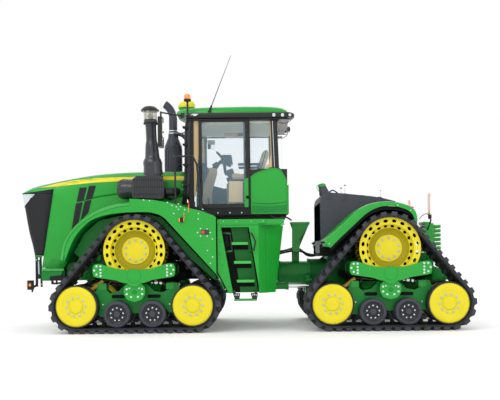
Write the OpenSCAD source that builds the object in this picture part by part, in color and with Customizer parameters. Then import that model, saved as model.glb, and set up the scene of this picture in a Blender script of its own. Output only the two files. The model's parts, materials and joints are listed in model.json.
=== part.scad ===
// Articulated tractor on four triangular rubber tracks: a front frame with engine, hood and
// cab, an articulation hub that yaws and lets the rear frame roll, and a rear frame with the
// fuel tank, remote valves and drawbar. X runs from nose to tail, Y to the right side, Z up.

/* [Overall] */
// Distance between the front and the rear axle
wheelbase = 4242; // [4230:1:4260]
// Distance between the centres of the left and right belts
track_gauge = 2238; // [2230:1:2246]
// Height of the drive wheel axles above the ground
axle_z = 1370; // [1366:1:1374]
// Distance from the front axle forward to the tip of the nose
nose_overhang = 2111; // [2100:1:2120]

/* [Track units] */
// Width of a rubber belt
belt_w = 762; // [756:1:766]
// Radius of the drive wheel over its rings
drive_r = 511.5; // [509:0.5:513]
// Radius of the idler wheels over their rubber
idler_r = 357; // [355:1:358]
// Radius of the mid-rollers over their rubber
roller_r = 224; // [222:1:225]
// Distance from the axle to each idler, along the tractor
idler_reach = 965; // [960:1:968]
// Distance from the axle to each mid-roller, along the tractor
roller_reach = 294; // [290:1:298]
// Number of lugs round a belt
lug_count = 44; // [40:1:48]
// Number of drive bars round a drive wheel
bar_count = 20; // [18:1:22]
// Thickness of the belt's carcass
carcass_t = 33; // [30:1:34]
// Height of the tread lugs
lug_h = 60; // [56:1:61]
// Height of the guide lugs inside the belt
guide_h = 72; // [60:1:76]

/* [Cab and body] */
// Half width of the cab
cab_half_w = 850; // [840:1:855]
// Half width of the hood
hood_half_w = 620; // [600:1:625]
// Height of the top of the cab roof
roof_z = 3905; // [3890:1:3910]
// Length of the whip antenna
antenna_len = 1010; // [900:10:1020]
// Radius of the exhaust stack
stack_r = 76; // [70:1:80]

/* [Drawbar] */
// Radius of the hole for the drawbar pin
drawbar_hole_r = 35.5; // [30:0.5:38]
// Thickness of the drawbar
drawbar_t = 75; // [70:1:80]

/* [Hidden] */
$fn = 48;
units = ["front_left", "front_right", "rear_left", "rear_right"];
unit_parts = ["drive_wheel", "belt", "track_frame", "fore_idler", "aft_idler", "fore_roller", "aft_roller"];

// Running gap between a wheel and the belt, and between a shaft and its bore
belt_gap = 2;
shaft_gap = 0.1;

// Modules below measure X from the articulation pin; place() moves them to the row's origin,
// which is under the middle of the whole tractor.
front_x = -wheelbase / 2;
rear_x = wheelbase / 2;
unit_y = track_gauge / 2;
idler_z = idler_r + belt_gap + carcass_t + lug_h;
roller_z = roller_r + belt_gap + carcass_t + lug_h;
nose_x = front_x - nose_overhang;
tail_x = rear_x + idler_reach + idler_z;
pin_x = -(nose_x + tail_x) / 2;
pivot_z = 700;      // undercarriage pivot under each drive wheel
roll_z = 955;       // axis of the oscillation tube

green = [0.13, 0.55, 0.16];
dark_green = [0.06, 0.35, 0.12];
yellow = [0.95, 0.85, 0.08];
black = [0.10, 0.10, 0.11];
grey = [0.30, 0.32, 0.34];
steel = [0.62, 0.63, 0.65];
beige = [0.72, 0.62, 0.42];
glass = [0.75, 0.88, 0.92, 0.4];
amber = [0.95, 0.45, 0.05];

// ---------------------------------------------------------------- helpers

// A flat outline drawn in X and Z, made solid between two values of Y
module slab(y0, y1) {
    translate([0, y1, 0]) rotate([90, 0, 0]) linear_extrude(y1 - y0) children();
}

module both_sides() {
    children();
    mirror([0, 1, 0]) children();
}

module place() {
    translate([pin_x, 0, 0]) children();
}

// A cylinder along Y, from y0 to y1, centred on (x, z)
module rod_y(x, z, r, y0, y1) {
    translate([x, y1, z]) rotate([90, 0, 0]) cylinder(r = r, h = y1 - y0);
}

module rod_x(y, z, r, x0, x1) {
    translate([x0, y, z]) rotate([0, 90, 0]) cylinder(r = r, h = x1 - x0);
}

module rod_z(x, y, r, z0, z1) {
    translate([x, y, z0]) cylinder(r = r, h = z1 - z0);
}

// A block given by its lowest and highest corners
module block(lo, hi) {
    translate(lo) cube(hi - lo);
}

// A round bar from point p to point q
module bar(p, q, r) {
    d = q - p;
    translate(p) rotate([0, acos(d[2] / norm(d)), atan2(d[1], d[0])]) cylinder(r = r, h = norm(d), $fn = 20);
}

// A bent tube: bars between the points, with a ball at each bend
module tube_rail(pts, r) {
    for (i = [0:len(pts) - 2]) bar(pts[i], pts[i + 1], r);
    for (i = [1:1:len(pts) - 2]) translate(pts[i]) sphere(r = r * 1.08, $fn = 20);
}

// A sheet of thickness t laid on a line of points in X and Z, on the left of its direction
function unit_normal(a, b) = let (d = b - a) [-d[1], d[0]] / norm(d);
function lifted(pts, t) = [for (i = [0:len(pts) - 1])
    let (n = unit_normal(pts[max(0, i - 1)], pts[min(len(pts) - 1, i + 1)])) pts[i] + n * t];
function reversed(pts) = [for (i = [len(pts) - 1:-1:0]) pts[i]];
module sheet(pts, t) {
    polygon(concat(pts, reversed(lifted(pts, t))));
}

// Points of an arc in X and Z, from angle a0 to a1
function arc(cx, cz, r, a0, a1, n) = [for (i = [0:n]) let (a = a0 + (a1 - a0) * i / n) [cx + r * cos(a), cz + r * sin(a)]];

// ---------------------------------------------------------------- belt path

loop_d = drive_r + belt_gap;
loop_i = idler_r + belt_gap;
to_idler = norm([idler_reach, idler_z - axle_z]);
tangent_a = atan2(idler_z - axle_z, idler_reach) + acos((loop_d - loop_i) / to_idler);
tangent_len = sqrt(to_idler * to_idler - (loop_d - loop_i) * (loop_d - loop_i));
function along(r, deg) = r * deg * PI / 180;
seg1 = along(loop_d, 90 - tangent_a);
seg2 = seg1 + tangent_len;
seg3 = seg2 + along(loop_i, tangent_a + 90);
half_loop = seg3 + idler_reach;
loop_len = 2 * half_loop;
lug_pitch = loop_len / lug_count;

// [x, z, normal x, normal z] on the belt's inner face, s along it from the top of the drive wheel
function half_path(s) =
    s < seg1 ? let (a = 90 - s / along(loop_d, 1)) [loop_d * cos(a), axle_z + loop_d * sin(a), cos(a), sin(a)]
    : s < seg2 ? let (t = s - seg1, a = tangent_a)
        [loop_d * cos(a) + t * sin(a), axle_z + loop_d * sin(a) - t * cos(a), cos(a), sin(a)]
    : s < seg3 ? let (a = tangent_a - (s - seg2) / along(loop_i, 1))
        [idler_reach + loop_i * cos(a), idler_z + loop_i * sin(a), cos(a), sin(a)]
    : [idler_reach - (s - seg3), idler_z - loop_i, 0, -1];
function mirrored(p) = [-p[0], p[1], -p[2], p[3]];
function path(s) = let (w = s < 0 ? s + loop_len : s >= loop_len ? s - loop_len : s)
    w <= half_loop ? half_path(w) : mirrored(half_path(loop_len - w));
function off_path(s, h) = let (p = path(s)) [p[0] + p[2] * h, p[1] + p[3] * h];

// One lug's outline as [share of the pitch, height], repeated round the loop
tread_shape = [[0.10, 0], [0.20, 1], [0.46, 1], [0.58, 0]];
guide_shape = [[0.28, 0], [0.36, 1], [0.64, 1], [0.72, 0]];

// The belt is laid out in sections of two lugs, end to end with a hairline between, so that each is a simple solid
module belt_section(first) {
    s0 = first * lug_pitch + 0.5;
    s1 = (first + 2) * lug_pitch - 0.5;
    slab(-belt_w / 2, belt_w / 2) polygon(concat(
        [off_path(s0, carcass_t)],
        [for (k = [first, first + 1]) for (t = tread_shape)
            off_path((k + t[0]) * lug_pitch, carcass_t + lug_h * t[1])],
        [off_path(s1, carcass_t)],
        [for (i = [8:-1:0]) off_path(s0 + (s1 - s0) * i / 8, 0)]));
    for (k = [first, first + 1]) slab(-55, 55) polygon(concat(
        [for (t = [guide_shape[0], guide_shape[3]]) off_path((k + t[0]) * lug_pitch, carcass_t / 2)],
        [for (i = [2, 1]) off_path((k + guide_shape[i][0]) * lug_pitch, -guide_h)]));
}

module belt() {
    color(black) for (k = [0:2:lug_count - 1]) belt_section(k);
}

// ---------------------------------------------------------------- wheels, each on its own axis

wheel_half = 306;    // half width of drive wheel, rings included
ring_t = 40;
spindle_r = 105;

module drive_wheel() {
    color(yellow) difference() {
        union() {
            for (side = [-1, 1]) rod_y(0, 0, drive_r, side < 0 ? -wheel_half : wheel_half - ring_t,
                side < 0 ? -wheel_half + ring_t : wheel_half);
            rod_y(0, 0, 440, -wheel_half, wheel_half);
            for (k = [0:bar_count - 1]) rotate([0, k * 360 / bar_count, 0])
                block([-17, -wheel_half + 10, 430], [17, wheel_half - 10, 500]);
        }
        // the dish on the outer side, down to the hub's face
        translate([0, -wheel_half - 1, 0]) rotate([-90, 0, 0]) cylinder(r1 = 424, r2 = 240, h = 181);
        // the open inner side
        rod_y(0, 0, 424, -60, wheel_half + 1);
        for (side = [-1, 1]) for (k = [0:bar_count - 1]) rotate([0, (k + 0.5) * 360 / bar_count, 0])
            rod_y(0, 476, 24, side * (wheel_half - ring_t / 2) - ring_t, side * (wheel_half - ring_t / 2) + ring_t);
    }
    color(yellow) difference() {
        rod_y(0, 0, 200, -60, 150);
        rod_y(0, 0, spindle_r + shaft_gap, -20, 160);
    }
    color(steel) for (k = [0:9]) rotate([0, k * 36 + 18, 0]) rod_y(0, 172, 17, -wheel_half + 180, -wheel_half + 205);
}

module wheel_pair(r, half, gap, axle_r, disc_r, dish) {
    for (side = [-1, 1]) difference() {
        rod_y(0, 0, r, side < 0 ? -half : gap, side < 0 ? -gap : half);
        translate([0, side * (half + 1), 0]) rotate([side * 90, 0, 0]) cylinder(r1 = disc_r, r2 = disc_r - 60, h = dish);
    }
    rod_y(0, 0, axle_r, -gap - 1, gap + 1);
}

module idler() {
    color(yellow) union() {
        wheel_pair(idler_r, 368, 132, 70, 200, 24);
        for (side = [-1, 1]) for (k = [0:9]) rotate([0, k * 36, 0])
            rod_y(0, 160, 15, side < 0 ? -366 : 340, side < 0 ? -340 : 366);
    }
}

module roller() {
    color(black) union() {
        wheel_pair(roller_r, 352, 132, 50, 150, 30);
        for (side = [-1, 1]) for (k = [0:8]) rotate([0, k * 40, 0])
            rod_y(0, 105, 11, side < 0 ? -345 : 318, side < 0 ? -318 : 345);
    }
}

// ---------------------------------------------------------------- undercarriage frame and saddle

frame_half = 118;
frame_side = [[-965, 352], [-650, 330], [-610, 262], [-480, 262], [-455, 405], [-390, 440], [-190, 470],
    [-75, 318], [75, 318], [190, 470], [390, 440], [455, 425], [560, 330], [650, 330], [965, 352], [965, 552], [765, 610],
    [690, 830], [560, 830], [520, 715], [300, 690], [180, 815], [-180, 815], [-300, 690], [-500, 715], [-500, 830],
    [-640, 830], [-700, 610], [-965, 552]];

module track_frame() {
    color(dark_green) difference() {
        union() {
            slab(-frame_half, frame_half) polygon(frame_side);
            for (s = [-1, 1]) {
                rod_y(s * idler_reach, idler_z, 100, -frame_half, frame_half);
                rod_y(s * roller_reach, roller_z, 84, -frame_half, frame_half);
                block([s * roller_reach - 70, -frame_half, roller_z], [s * roller_reach + 70, frame_half, 480]);
            }
            rod_y(0, pivot_z, 130, -200, 200);
        }
        for (s = [-1, 1]) {
            rod_y(s * idler_reach, idler_z, 70 + shaft_gap, -frame_half - 1, frame_half + 1);
            rod_y(s * roller_reach, roller_z, 50 + shaft_gap, -frame_half - 1, frame_half + 1);
            // the long slot on each side of the pivot
            slab(-frame_half - 1, frame_half + 1) translate([s * 300, 604]) {
                square([170, 76], center = true);
                for (e = [-1, 1]) translate([e * 85, 0]) circle(r = 38);
            }
        }
        rod_y(0, pivot_z, 80 + shaft_gap, -201, 201);
    }
}

saddle_in = 322;     // inner face of each saddle beam, from the belt's centre
saddle_out = 366;
beam_side = concat([[-660, 945], [-600, 928], [-500, 915], [-300, 884], [-170, 838]], arc(0, 898, 119, 215, 325, 10),
    [[170, 838], [300, 884], [500, 915], [600, 928], [660, 945], [680, 1000], [680, 1090], [655, 1145], [600, 1158],
     [520, 1146], [400, 1106], [294, 1074], [150, 1058], [0, 1053], [-150, 1058], [-294, 1074], [-400, 1106],
     [-520, 1146], [-600, 1158], [-655, 1145], [-680, 1090], [-680, 1000]]);
beam_bolts = [[-614, 1118], [-549, 1117], [-654, 1050], [-549, 1062], [-549, 1009], [-615, 983], [-549, 959]];
flange_bolts = [[-126, 733], [-82, 748], [80, 748], [126, 733], [-127, 653], [127, 653], [-57, 605], [57, 605]];

// A saddle holds one undercarriage: two beams, a cross plate at each end and the pivot shaft
module saddle() {
    color(green) difference() {
        union() {
            slab(-saddle_out, -saddle_in) polygon(beam_side);
            slab(saddle_in, saddle_out) {
                polygon(beam_side);
                polygon([[-330, 1060], [330, 1060], [210, 1560], [-210, 1560]]);
            }
            for (s = [-1, 1]) block([s * 630 - 32, -saddle_in - 1, 950], [s * 630 + 32, saddle_in + 1, 1135]);
            slab(-saddle_in, -290) intersection() {
                translate([0, pivot_z - 4]) circle(r = 180);
                translate([-200, 400]) square([400, 440]);
            }
            slab(290, saddle_in) intersection() {
                translate([0, pivot_z - 4]) circle(r = 180);
                translate([-200, 400]) square([400, 440]);
            }
            slab(-saddle_in - 1, -saddle_in + 1) translate([-100, 700]) square([200, 135]);
            slab(saddle_in - 1, saddle_in + 1) translate([-100, 700]) square([200, 135]);
            rod_y(0, pivot_z, 80, -291, 291);
        }
        rod_y(0, axle_z, 150 + shaft_gap, saddle_in - 10, saddle_out + 10);
    }
    color(steel) {
        for (b = beam_bolts) for (s = [-1, 1]) rod_y(s * b[0], b[1], 16, -saddle_out - 12, -saddle_out);
        for (b = flange_bolts) rod_y(b[0], b[1], 15, -saddle_in - 12, -saddle_in);
    }
    // rubber bump stops between the saddle and the undercarriage frame
    color(black) for (s = [-1, 1]) rod_z(s * 600, 0, 55, 912, 950);
}

// ---------------------------------------------------------------- front frame

module chassis_rails(x0, x1, z0, z1) {
    for (s = [-1, 1]) block([x0, s * 340 - 60, z0], [x1, s * 340 + 60, z1]);
}

module axle(x) {
    rod_y(x, axle_z, 150, -unit_y + saddle_in - 10, unit_y - saddle_in + 10);
    rod_y(x, axle_z, 230, -unit_y + saddle_out, unit_y - saddle_out);
    rod_y(x, axle_z, spindle_r, -unit_y - 15, unit_y + 15);
    block([x - 330, -400, 900], [x + 330, 400, axle_z + 190]);
}

module front_chassis() {
    color(dark_green) difference() {
        union() {
            chassis_rails(-3860, -420, 860, 1180);
            for (x = [-3800, -3000, -1300]) block([x, -290, 880], [x + 120, 290, 1150]);
            axle(front_x);
            // rear cross beam and the two fork plates that hold the articulation pin
            block([-560, -350, 610], [-420, 350, 1230]);
            for (z = [[695, 755], [1155, 1215]]) {
                block([-421, -190, z[0]], [0, 190, z[1]]);
                rod_z(0, 0, 190, z[0], z[1]);
            }
            rod_z(0, 0, 60, 680, 1235);
            // lower nose plate
            block([-3900, -560, 860], [-3480, 560, 1070]);
            // brackets for the steering cylinders
            for (s = [-1, 1]) for (z = [[612, 656], [784, 828]])
                block([cyl_front[0] - 50, s * 435 - 115, z[0]], [cyl_front[0] + 80, s * 435 + 115, z[1]]);
            for (s = [-1, 1]) rod_z(cyl_front[0], s * cyl_front[1], 24, 640, 800);
            // cab mounts
            for (x = [-1150, 150]) for (s = [-1, 1]) block([x - 60, s * 340 - 60, 1179], [x + 60, s * 340 + 60, 1970]);
            block([-560, -400, 1180], [210, -280, 1300]);
            block([-560, 280, 1180], [210, 400, 1300]);
            // bearers under the side boxes and the fenders
            block([-1100, -620, 1190], [-1000, 620, 1290]);
            block([-610, -1090, 1190], [-510, 1090, 1290]);
        }
        // the hub turns in here
        translate([0, 0, 756]) cylinder(r = 200, h = 398);
    }
    color(dark_green) rod_z(0, 0, 60, 755, 1155);
    // front lamp brackets with a turn signal each
    color(black) both_sides() {
        block([-3990, -560, 760], [-3964, -520, 1300]);
        block([-3965, -560, 900], [-3899, -520, 960]);
        tube_rail([[-3977, -540, 790], [-3977, -700, 765], [-3925, -1150, 765]], 16);
        block([-3950, -1210, 735], [-3870, -1130, 885]);
    }
}

module front_saddles() {
    both_sides() translate([front_x, -unit_y, 0]) saddle();
}

module engine() {
    color(dark_green) {
        block([-2900, -330, 1600], [-1500, 330, 2150]);
        block([-2750, -200, 2150], [-1700, 200, 2420]);
        block([-2950, -270, 1250], [-2480, 270, 1601]);
        block([-1760, -270, 1250], [-1500, 270, 1601]);
        // transmission behind the engine
        block([-1501, -270, 1300], [-620, 270, 1700]);
    }
    // radiator pack and fan
    color(black) {
        block([-3780, -520, 1200], [-3480, 520, 2330]);
        rod_x(0, 1850, 430, -3480, -3380);
        rod_x(0, 1850, 60, -3380, -2900);
    }
}

arch_in = [[-1110, -99], [-951, 278], [-726, 498], [-391, 606], [-58, 635], [265, 632], [400, 600], [527, 519],
    [1343, -388], [1498, -680]];
shelf = [[-50, 780], [420, 780], [820, 692], [872, 680]];

// The arch over a front belt, the flat side plate behind it and the inner shield under the hood
module front_fenders() {
    color(green) both_sides() union() {
        translate([front_x, 0, axle_z]) {
            slab(-1450, -640) sheet(arch_in, 18);
            slab(-1450, -1432) polygon([[-1142, -85], [-951, 278], [-726, 498], [-391, 606], [-58, 635], [265, 632],
                [400, 600], [527, 519], [1343, -388], [1360, -400], [1360, 551], [1119, 648], [873, 708], [608, 786],
                [323, 837], [-59, 861], [-65, 758], [-501, 740], [-725, 631], [-1000, 420], [-1142, 35]]);
            // inner shield between the arch and the seam under the hood
            slab(-652, -632) polygon([[-1100, 0], [-940, 320], [-726, 520], [-391, 630], [265, 660], [400, 620],
                [872, 120], [872, 830], [620, 870], [-60, 955], [-458, 965], [-879, 900], [-1108, 855]]);
            // shelf that carries the air cleaner on the left and the exhaust on the right
            slab(-1433, -651) sheet(shelf, 14);
        }
    }
}

hood_side = [[-4232, 2409], [-4130, 2490], [-4022, 2545], [-3737, 2601], [-3356, 2681], [-2976, 2741], [-2429, 2785],
    [-2073, 2793], [-1320, 2794], [-1359, 2329], [-1521, 2262], [-2260, 2400], [-2579, 2355], [-3000, 2290],
    [-3239, 2237], [-3320, 1760], [-3330, 1350], [-3475, 1081], [-3875, 1086], [-4023, 1322]];
hood_t = 22;

// Tilting hood: a top, two side skins and a nose rim, open below and at the back
module hood_shell() {
    // hinge barrels under the top skin
    color(green) both_sides() rod_y(-1345, 2780, 12, 480, 560);
    color(green) difference() {
        slab(-hood_half_w, hood_half_w) polygon(hood_side);
        slab(-hood_half_w + hood_t, hood_half_w - hood_t) polygon([[-4400, 1000], [-4400, 2380], [-4210, 2380], [-4110, 2466],
            [-4010, 2519], [-3732, 2575], [-3352, 2656], [-2973, 2716], [-2428, 2760], [-2073, 2768], [-1200, 2769],
            [-1200, 1000]]);
        // the grille's opening in each side skin
        slab(-hood_half_w - 1, hood_half_w + 1) polygon([[-4260, 2395], [-3967, 2452], [-3640, 2477], [-3860, 1300],
            [-4080, 1300]]);
        // two slanted vents in each side skin
        for (v = [0, 150]) slab(-hood_half_w - 1, hood_half_w + 1) translate([v, 0])
            polygon([[-3150, 2480], [-3060, 2490], [-3190, v == 0 ? 1880 : 2060], [-3330, v == 0 ? 1720 : 1890]]);
    }
}

module hood_grille() {
    // the nose grille wraps round both corners behind the lamps
    color(black) difference() {
        slab(-hood_half_w + 1, hood_half_w - 1) polygon([[-4225, 2376], [-3955, 2420], [-3650, 2440], [-3862, 1306],
            [-4014, 1306], [-4110, 1700]]);
        slab(-hood_half_w + hood_t + 20, hood_half_w - hood_t - 20) polygon([[-4150, 2330], [-3600, 2400], [-3800, 1250],
            [-3970, 1250]]);
    }
}

// ---------------------------------------------------------------- cab

glass_t = 8;
cab_front = -1240;
cab_rear = 452;
sill_z = 2110;
header_z = 3618;

module cab_frame() {
    color(black) union() {
        block([cab_front, -cab_half_w, 1975], [cab_rear, cab_half_w, sill_z]);
        block([cab_front - 20, -cab_half_w, header_z], [cab_rear + 20, cab_half_w, 3735]);
        for (s = [-1, 1]) {
            y0 = s < 0 ? -cab_half_w : cab_half_w - 60;
            block([cab_front, y0, sill_z - 1], [cab_front + 80, y0 + 60, header_z + 1]);
            block([-1075, y0, sill_z - 1], [-1030, y0 + 60, header_z + 1]);
            block([-300, y0, sill_z - 1], [-190, y0 + 60, header_z + 1]);
            slab(y0, y0 + 60) polygon([[196, 2750], [310, 2750], [270, header_z + 1], [170, header_z + 1]]);
            block([-190, y0, sill_z - 1], [cab_rear, y0 + 40, 2760]);
        }
        // right side below the window, and the rear wall
        block([-1031, cab_half_w - 40, sill_z - 1], [-299, cab_half_w, 2450]);
        block([cab_rear - 40, -cab_half_w, sill_z - 1], [cab_rear, cab_half_w, 2700]);
    }
}

module cab_windows() {
    color(glass) {
        // windshield, front quarters, rear quarters, right side and rear window
        block([cab_front + 20, -cab_half_w + 61, sill_z + 1], [cab_front + 20 + glass_t, cab_half_w - 61, header_z - 1]);
        for (s = [-1, 1]) {
            y0 = s < 0 ? -cab_half_w + 20 : cab_half_w - 20 - glass_t;
            block([cab_front + 81, y0, sill_z + 1], [-1076, y0 + glass_t, header_z - 1]);
            slab(y0, y0 + glass_t) polygon([[-189, 2761], [194, 2761], [169, header_z - 1], [-189, header_z - 1]]);
        }
        block([-1029, cab_half_w - 20 - glass_t, 2451], [-301, cab_half_w - 20, header_z - 1]);
        slab(-cab_half_w + 70, cab_half_w - 70) polygon([[380, 2701], [388, 2701], [348, header_z - 1], [340, header_z - 1]]);
    }
}

module cab_panels() {
    // green corner panels outside the rear of the cab
    color(green) both_sides() {
        slab(-cab_half_w - 32, -cab_half_w - 2) polygon([[-176, 1985], [-176, 2640], [-60, 2700], [196, 2772], [330, 2745],
            [400, 2640], [445, 2480], [450, 1985]]);
        block([cab_rear + 2, -cab_half_w - 32, 1985], [cab_rear + 22, -300, 2480]);
    }
}

module cab_roof() {
    // roof cap, with the dark lamp band below it as a separate ring
    color(green) hull() {
        block([cab_front + 20, -740, 3736], [500, 740, 3790]);
        block([cab_front + 160, -600, 3850], [380, 600, roof_z]);
    }
    color(black) difference() {
        block([cab_front - 70, -920, 3640], [590, 920, 3735]);
        block([cab_front - 21, -cab_half_w - 1, 3600], [cab_rear + 21, cab_half_w + 1, 3800]);
        // the rear edge stands back between the two lamp pods
        block([500, -640, 3600], [600, 640, 3800]);
    }
    // ears that hold the mirror arms
    color(black) both_sides() for (z = [[3640, 3652], [3723, 3735]])
        block([mirror_x - 28, mirror_y - 28, z[0]], [cab_front - 69, mirror_y + 28, z[1]]);
}

mirror_x = -1345;
mirror_y = -890;

door_edge = -205;

module cab_door() {
    y0 = -cab_half_w - 34;
    color(black) difference() {
        block([-1072, y0, 2096], [door_edge, y0 + 30, 3630]);
        block([-1030, y0 - 1, 2150], [-285, y0 + 31, 3590]);
    }
    color(glass) block([-1029, y0 + 10, 2151], [-286, y0 + 10 + glass_t, 3589]);
    color(black) {
        for (z = [2240, 2850, 3460]) rod_z(door_edge, y0 - 2, 9, z, z + 70);
        tube_rail([[-1050, y0 - 1, 2560], [-1050, y0 - 40, 2580], [-1050, y0 - 40, 2760], [-1050, y0 - 1, 2780]], 9);
    }
}

// ---------------------------------------------------------------- inside the cab

seat_x = -300;

module operator_seat() {
    color(beige) {
        block([-560, -250, 2630], [-60, 250, 2743]);
        slab(-240, 240) polygon([[-110, 2700], [0, 2680], [160, 3170], [65, 3200]]);
    }
    color(black) {
        rod_z(seat_x, 0, 110, 2300, 2631);
        for (s = [-1, 1]) {
            block([-420, s * 285 - 32, 2885], [0, s * 285 + 32, 2930]);
            block([-70, s * 249 - 12, 2700], [-20, s * 249 + 12, 2930]);
        }
    }
}

module control_console() {
    color(grey) {
        rod_z(seat_x, 0, 170, 2111, 2299);
        // steering column, dash, right-hand armrest with its display, and the pedals
        slab(-110, 110) polygon([[-1100, 2111], [-920, 2111], [-900, 2500], [-860, 2800], [-960, 2840], [-1040, 2560]]);
        bar([-900, 0, 2832], [-712, 0, 3007], 30);
        block([-620, 450, 2111], [120, 640, 2620]);
        block([-600, 460, 2619], [-160, 600, 2760]);
        block([-700, 440, 2800], [-660, 700, 3010]);
        bar([-590, 530, 2740], [-665, 560, 2860], 16);
        for (y = [-220, 180]) block([-960, y, 2180], [-930, y + 80, 2300]);
        for (y = [-185, 215]) block([-945, y, 2111], [-930, y + 14, 2181]);
    }
}

sw_centre = [-679, 0, 3038];
sw_tilt = 47;

module steering_wheel() {
    color(black) translate(sw_centre) rotate([0, sw_tilt, 0]) {
        rotate_extrude() translate([180, 0]) circle(r = 14, $fn = 20);
        for (a = [0, 120, 240]) rotate([0, 0, a + 60]) block([20, -14, -8], [172, 14, 8]);
        translate([0, 0, -28]) cylinder(r = 48, h = 46);
    }
}

// ---------------------------------------------------------------- things on the body

air_y = -930;
air_x = -1870;

module air_cleaner() {
    color(grey) {
        // ribbed canister lying along the hood, on its foot
        rod_x(air_y, 2430, 170, -2300, -1640);
        translate([-2300, air_y, 2430]) sphere(r = 169);
        block([-2170, air_y - 200, 2245], [-1640, air_y + 200, 2640]);
        block([-2080, air_y - 150, shelf_top], [-1740, air_y + 150, 2250]);
        for (i = [0:8]) block([-2160 + i * 58, air_y - 214, 2260], [-2134 + i * 58, air_y + 214, 2650]);
        // stack: base, neck and pre-cleaner bowl under its cap
        translate([air_x, air_y, 2639]) rotate_extrude() polygon([[0, 0], [160, 0], [160, 200], [135, 260],
            [82, 600], [80, 640], [88, 720], [95, 880], [116, 905], [118, 1000], [0, 1000]]);
        translate([air_x, air_y, 3780]) rotate_extrude() polygon([[0, 0], [150, 0], [150, 14], [112, 60], [0, 68]]);
    }
    color(glass) rod_z(air_x, air_y, 112, 3639, 3780);
}

exhaust_y = 840;
exhaust_x = -1680;
shelf_top = 2166;

module exhaust_stack() {
    color(grey) {
        translate([exhaust_x, exhaust_y, 0]) rotate_extrude() polygon([[0, shelf_top], [165, shelf_top], [165, 3400],
            [stack_r + 24, 3560], [stack_r + 18, 3640], [stack_r + 5, 3690], [stack_r + 5, 3950], [0, 3950]]);
        // the tip curves forward
        translate([exhaust_x - 330, exhaust_y, 3930]) rotate([90, 0, 0])
            rotate_extrude(angle = 58) translate([330, 0]) circle(r = stack_r, $fn = 40);
        // slim pipe beside the muffler
        rod_z(exhaust_x + 285, exhaust_y, 50, shelf_top - 50, 3420);
    }
}

module roof_fittings() {
    color(black) rod_z(-1262, -820, 20, 3736, 3960);
    color(amber) rod_z(-1262, -820, 62, 3960, 4080);
    color(yellow) {
        block([-1500, -150, 3975], [-1190, 150, 4045]);
        block([-1460, -120, 4044], [-1230, 120, 4108]);
        block([-1300, -50, 3736], [-1224, 50, 3976]);
    }
    color(black) {
        rod_z(-885, -790, 24, 3736, 3770);
        bar([-885, -790, 3755], [-505, -790, 3740 + antenna_len], 7);
    }
}

box_out = -1400;
facet_x = -60;

// Plates of the left access box with its stairs, the deck above, and the plain box on the right
module side_plates(stairs) {
    box_side = [[-744, 1780], [368, 1780], [224, 646], [-560, 646], [-582, 690], [-744, 1000]];
    slab(box_out, box_out + 14) difference() {
        intersection() {
            polygon(box_side);
            translate([-800, 600]) square([facet_x + 801, 1200]);
        }
        if (stairs) polygon([[-686, 1744], [-218, 1744], [-39, 640], [-491, 640]]);
    }
    // facet that leaves room for the rear belt at full lock
    intersection() {
        linear_extrude(2000) polygon([[facet_x, box_out], [facet_x, box_out + 14], [362, -962], [374, -962]]);
        slab(-1500, -800) polygon(box_side);
    }
}

module deck() {
    translate([0, 0, 1781]) linear_extrude(30) difference() {
        polygon([[-740, box_out], [facet_x, box_out], [330, -980], [330, -420], [-740, -420]]);
        translate([90, -401]) square([120, 122]);
    }
}

module platform_and_steps() {
    color(green) both_sides() deck();
    color(green) {
        side_plates(true);
        // back wall and side walls of the stairwell, and its treads
        slab(-1110, -1096) polygon([[-744, 1780], [60, 1780], [60, 646], [-560, 646], [-582, 690], [-744, 1000]]);
        slab(box_out + 14, -1110) polygon([[-702, 1780], [-688, 1780], [-493, 646], [-507, 646]]);
        slab(box_out + 14, -1110) polygon([[-216, 1780], [-202, 1780], [-23, 646], [-37, 646]]);
        for (t = [[-512, -222, 1489], [-478, -170, 1176], [-432, -122, 864]])
            block([t[0] + 14, box_out + 20, t[2] - 34], [t[1] - 8, -1109, t[2]]);
    }
    color(green) mirror([0, 1, 0]) {
        side_plates(false);
        slab(-1110, -1096) polygon([[-744, 1780], [60, 1780], [60, 646], [-560, 646], [-582, 690], [-744, 1000]]);
    }
    // handrails on the deck
    color(black) {
        tube_rail([[-1560, -1264, 3070], [-1440, -1310, 2940], [-1140, -1310, 2940], [-1075, -1320, 2800],
            [-1010, -1320, 2060], [-735, -1320, 1830]], 16);
        bar([-1440, -1310, 2939], [-1440, -1310, 2160], 14);
        bar([-735, -1320, 1811], [-735, -1320, 1845], 18);
        tube_rail([[-668, -1370, 1652], [-530, -1372, 1640], [-500, -1372, 1350], [-608, -1370, 1335]], 12);
        tube_rail([[-225, box_out, 1655], [-170, box_out - 60, 1640], [-110, box_out - 60, 1500], [-140, box_out - 60, 1350],
            [-190, box_out, 1330]], 12);
    }
}

step_hinge_z = 655;

module lower_step() {
    color(green) block([-475, -1370, 515], [-95, -1180, 545]);
    color(black) for (x = [-440, -130]) for (y = [-1340, -1230])
        block([x - 22, y - 8, 545], [x + 22, y + 8, step_hinge_z - 16]);
}

module mirror_set() {
    // head and arm; the arm turns about the upright stub at its root
    color(black) {
        block([-1712, -1390, 3100], [-1640, -1130, 3600]);
        bar([mirror_x, mirror_y, 3688], [-1676, -1250, 3688], 13);
        bar([-1676, -1250, 3705], [-1676, -1250, 3590], 15);
        rod_z(mirror_x, mirror_y, 26, 3653, 3722);
    }
}

// ---------------------------------------------------------------- articulation

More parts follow.
